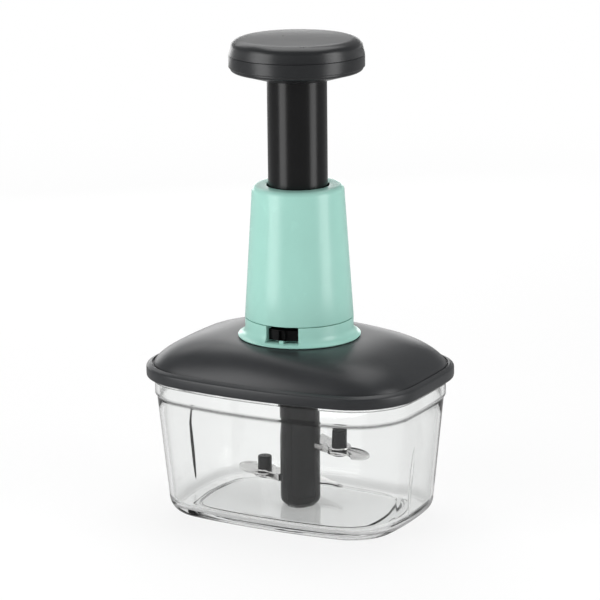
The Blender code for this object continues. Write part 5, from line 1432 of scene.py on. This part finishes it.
def softbox(name, place, aim, size, power):
    lamp = bpy.data.lights.new(name, "AREA")
    lamp.shape = "RECTANGLE"
    lamp.size, lamp.size_y = size
    lamp.energy = power
    holder = bpy.data.objects.new(name, lamp)
    bpy.context.scene.collection.objects.link(holder)
    holder.location = place
    holder.rotation_euler = (Vector(aim) - Vector(place)).to_track_quat("-Z", "Y").to_euler()
    holder.visible_camera = False
    holder.visible_transmission = name not in HIDDEN_THROUGH_BOWL


def set_world():
    """White world: full for the camera and through the bowl, darker for the diffuse light."""
    world = bpy.data.worlds.new("studio")
    bpy.context.scene.world = world
    world.use_nodes = True
    tree = world.node_tree
    back = tree.nodes["Background"]
    back.inputs["Color"].default_value = WHITE
    camera, through, gloss = light_rays(tree)
    height = Wire(tree).node("ShaderNodeTexCoord", output=0).upright()
    ceiling = height.between(0.30, 0.60) * through * 0.75
    skyline = gloss * (1.0 - height.between(0.02, 0.20)) * 0.60
    straight_light = (camera + through).clamped() * (1.0 - AMBIENT)
    strength = AMBIENT + straight_light - gloss * 0.06 + skyline - ceiling
    tree.links.new(strength.socket, back.inputs["Strength"])


def set_camera():
    """A long lens at the photo's height and turn, tilted a touch to the left."""
    level = math.cos(CAMERA_HEIGHT)
    back = Vector((math.sin(CAMERA_TURN) * level, -math.cos(CAMERA_TURN) * level,
                   math.sin(CAMERA_HEIGHT)))
    right = Vector((math.cos(CAMERA_TURN), math.sin(CAMERA_TURN), 0.0))
    up = back.cross(right)
    lens = bpy.data.cameras.new("camera")
    lens.lens = LENS
    lens.sensor_width = SENSOR
    lens.clip_end = FAR_CLIP
    camera = bpy.data.objects.new("camera", lens)
    bpy.context.scene.collection.objects.link(camera)
    across = right * math.cos(CAMERA_ROLL) - up * math.sin(CAMERA_ROLL)
    rise = right * math.sin(CAMERA_ROLL) + up * math.cos(CAMERA_ROLL)
    place = Vector((0.0, 0.0, CAMERA_AIM_Z)) + right * CAMERA_SHIFT + back * CAMERA_AWAY
    axes = Matrix((across, rise, back)).transposed()
    camera.matrix_world = Matrix.Translation(place) @ axes.to_4x4()
    bpy.context.scene.camera = camera


class CHOPPER_OT_stage(bpy.types.Operator):
    """Floor, soft lamps, world and camera"""
    bl_idname = "chopper.stage"
    bl_label = "Stage"

    def execute(self, context):
        shell = bmesh.new()
        bmesh.ops.create_grid(
            shell, x_segments=FLOOR_CELLS, y_segments=FLOOR_CELLS, size=FLOOR_SIZE)
        mesh = bpy.data.meshes.new("studio_floor")
        shell.to_mesh(mesh)
        shell.free()
        mesh.materials.append(floor_finish())
        ground = bpy.data.objects.new("studio_floor", mesh)
        context.scene.collection.objects.link(ground)
        for name, settings in LAMPS.items():
            softbox(name, *settings)
        set_world()
        set_camera()
        context.scene.view_settings.view_transform = "Standard"
        return {"FINISHED"}


class CHOPPER_PT_panel(bpy.types.Panel):
    """Sizes, colours and build steps of the chopper"""
    bl_idname = "CHOPPER_PT_panel"
    bl_label = "Chopper"
    bl_space_type = "VIEW_3D"
    bl_region_type = "UI"
    bl_category = "Chopper"

    def draw(self, context):
        column = self.layout.column()
        for name in ChopperSizes.__annotations__:
            column.prop(context.scene.chopper_sizes, name)
        for name in ChopperColours.__annotations__:
            column.prop(context.scene.chopper_colours, name)
        for operator in OPERATORS:
            column.operator(operator.bl_idname)


OPERATORS = (
    CHOPPER_OT_bowl, CHOPPER_OT_lid, CHOPPER_OT_collar, CHOPPER_OT_cone, CHOPPER_OT_lock_ring,
    CHOPPER_OT_tube, CHOPPER_OT_rod, CHOPPER_OT_spring, CHOPPER_OT_knob, CHOPPER_OT_column,
    CHOPPER_OT_posts, CHOPPER_OT_straps, CHOPPER_OT_blades, CHOPPER_OT_inner_finishes,
    CHOPPER_OT_stage,
)
CLASSES = (ChopperSizes, ChopperColours, *OPERATORS, CHOPPER_PT_panel)


def register():
    for item in CLASSES:
        bpy.utils.register_class(item)
    bpy.types.Scene.chopper_sizes = PointerProperty(type=ChopperSizes)
    bpy.types.Scene.chopper_colours = PointerProperty(type=ChopperColours)


def unregister():
    del bpy.types.Scene.chopper_sizes
    del bpy.types.Scene.chopper_colours
    for item in reversed(CLASSES):
        bpy.utils.unregister_class(item)


def main():
    register()
    bpy.ops.chopper.bowl()
    bpy.ops.chopper.lid()
    bpy.ops.chopper.collar()
    bpy.ops.chopper.cone()
    bpy.ops.chopper.lock_ring()
    bpy.ops.chopper.tube()
    bpy.ops.chopper.rod()
    bpy.ops.chopper.spring()
    bpy.ops.chopper.knob()
    bpy.ops.chopper.column()
    bpy.ops.chopper.posts()
    bpy.ops.chopper.straps()
    bpy.ops.chopper.blades()
    bpy.ops.chopper.inner_finishes()
    bpy.ops.chopper.stage()


if __name__ == "__main__":
    main()
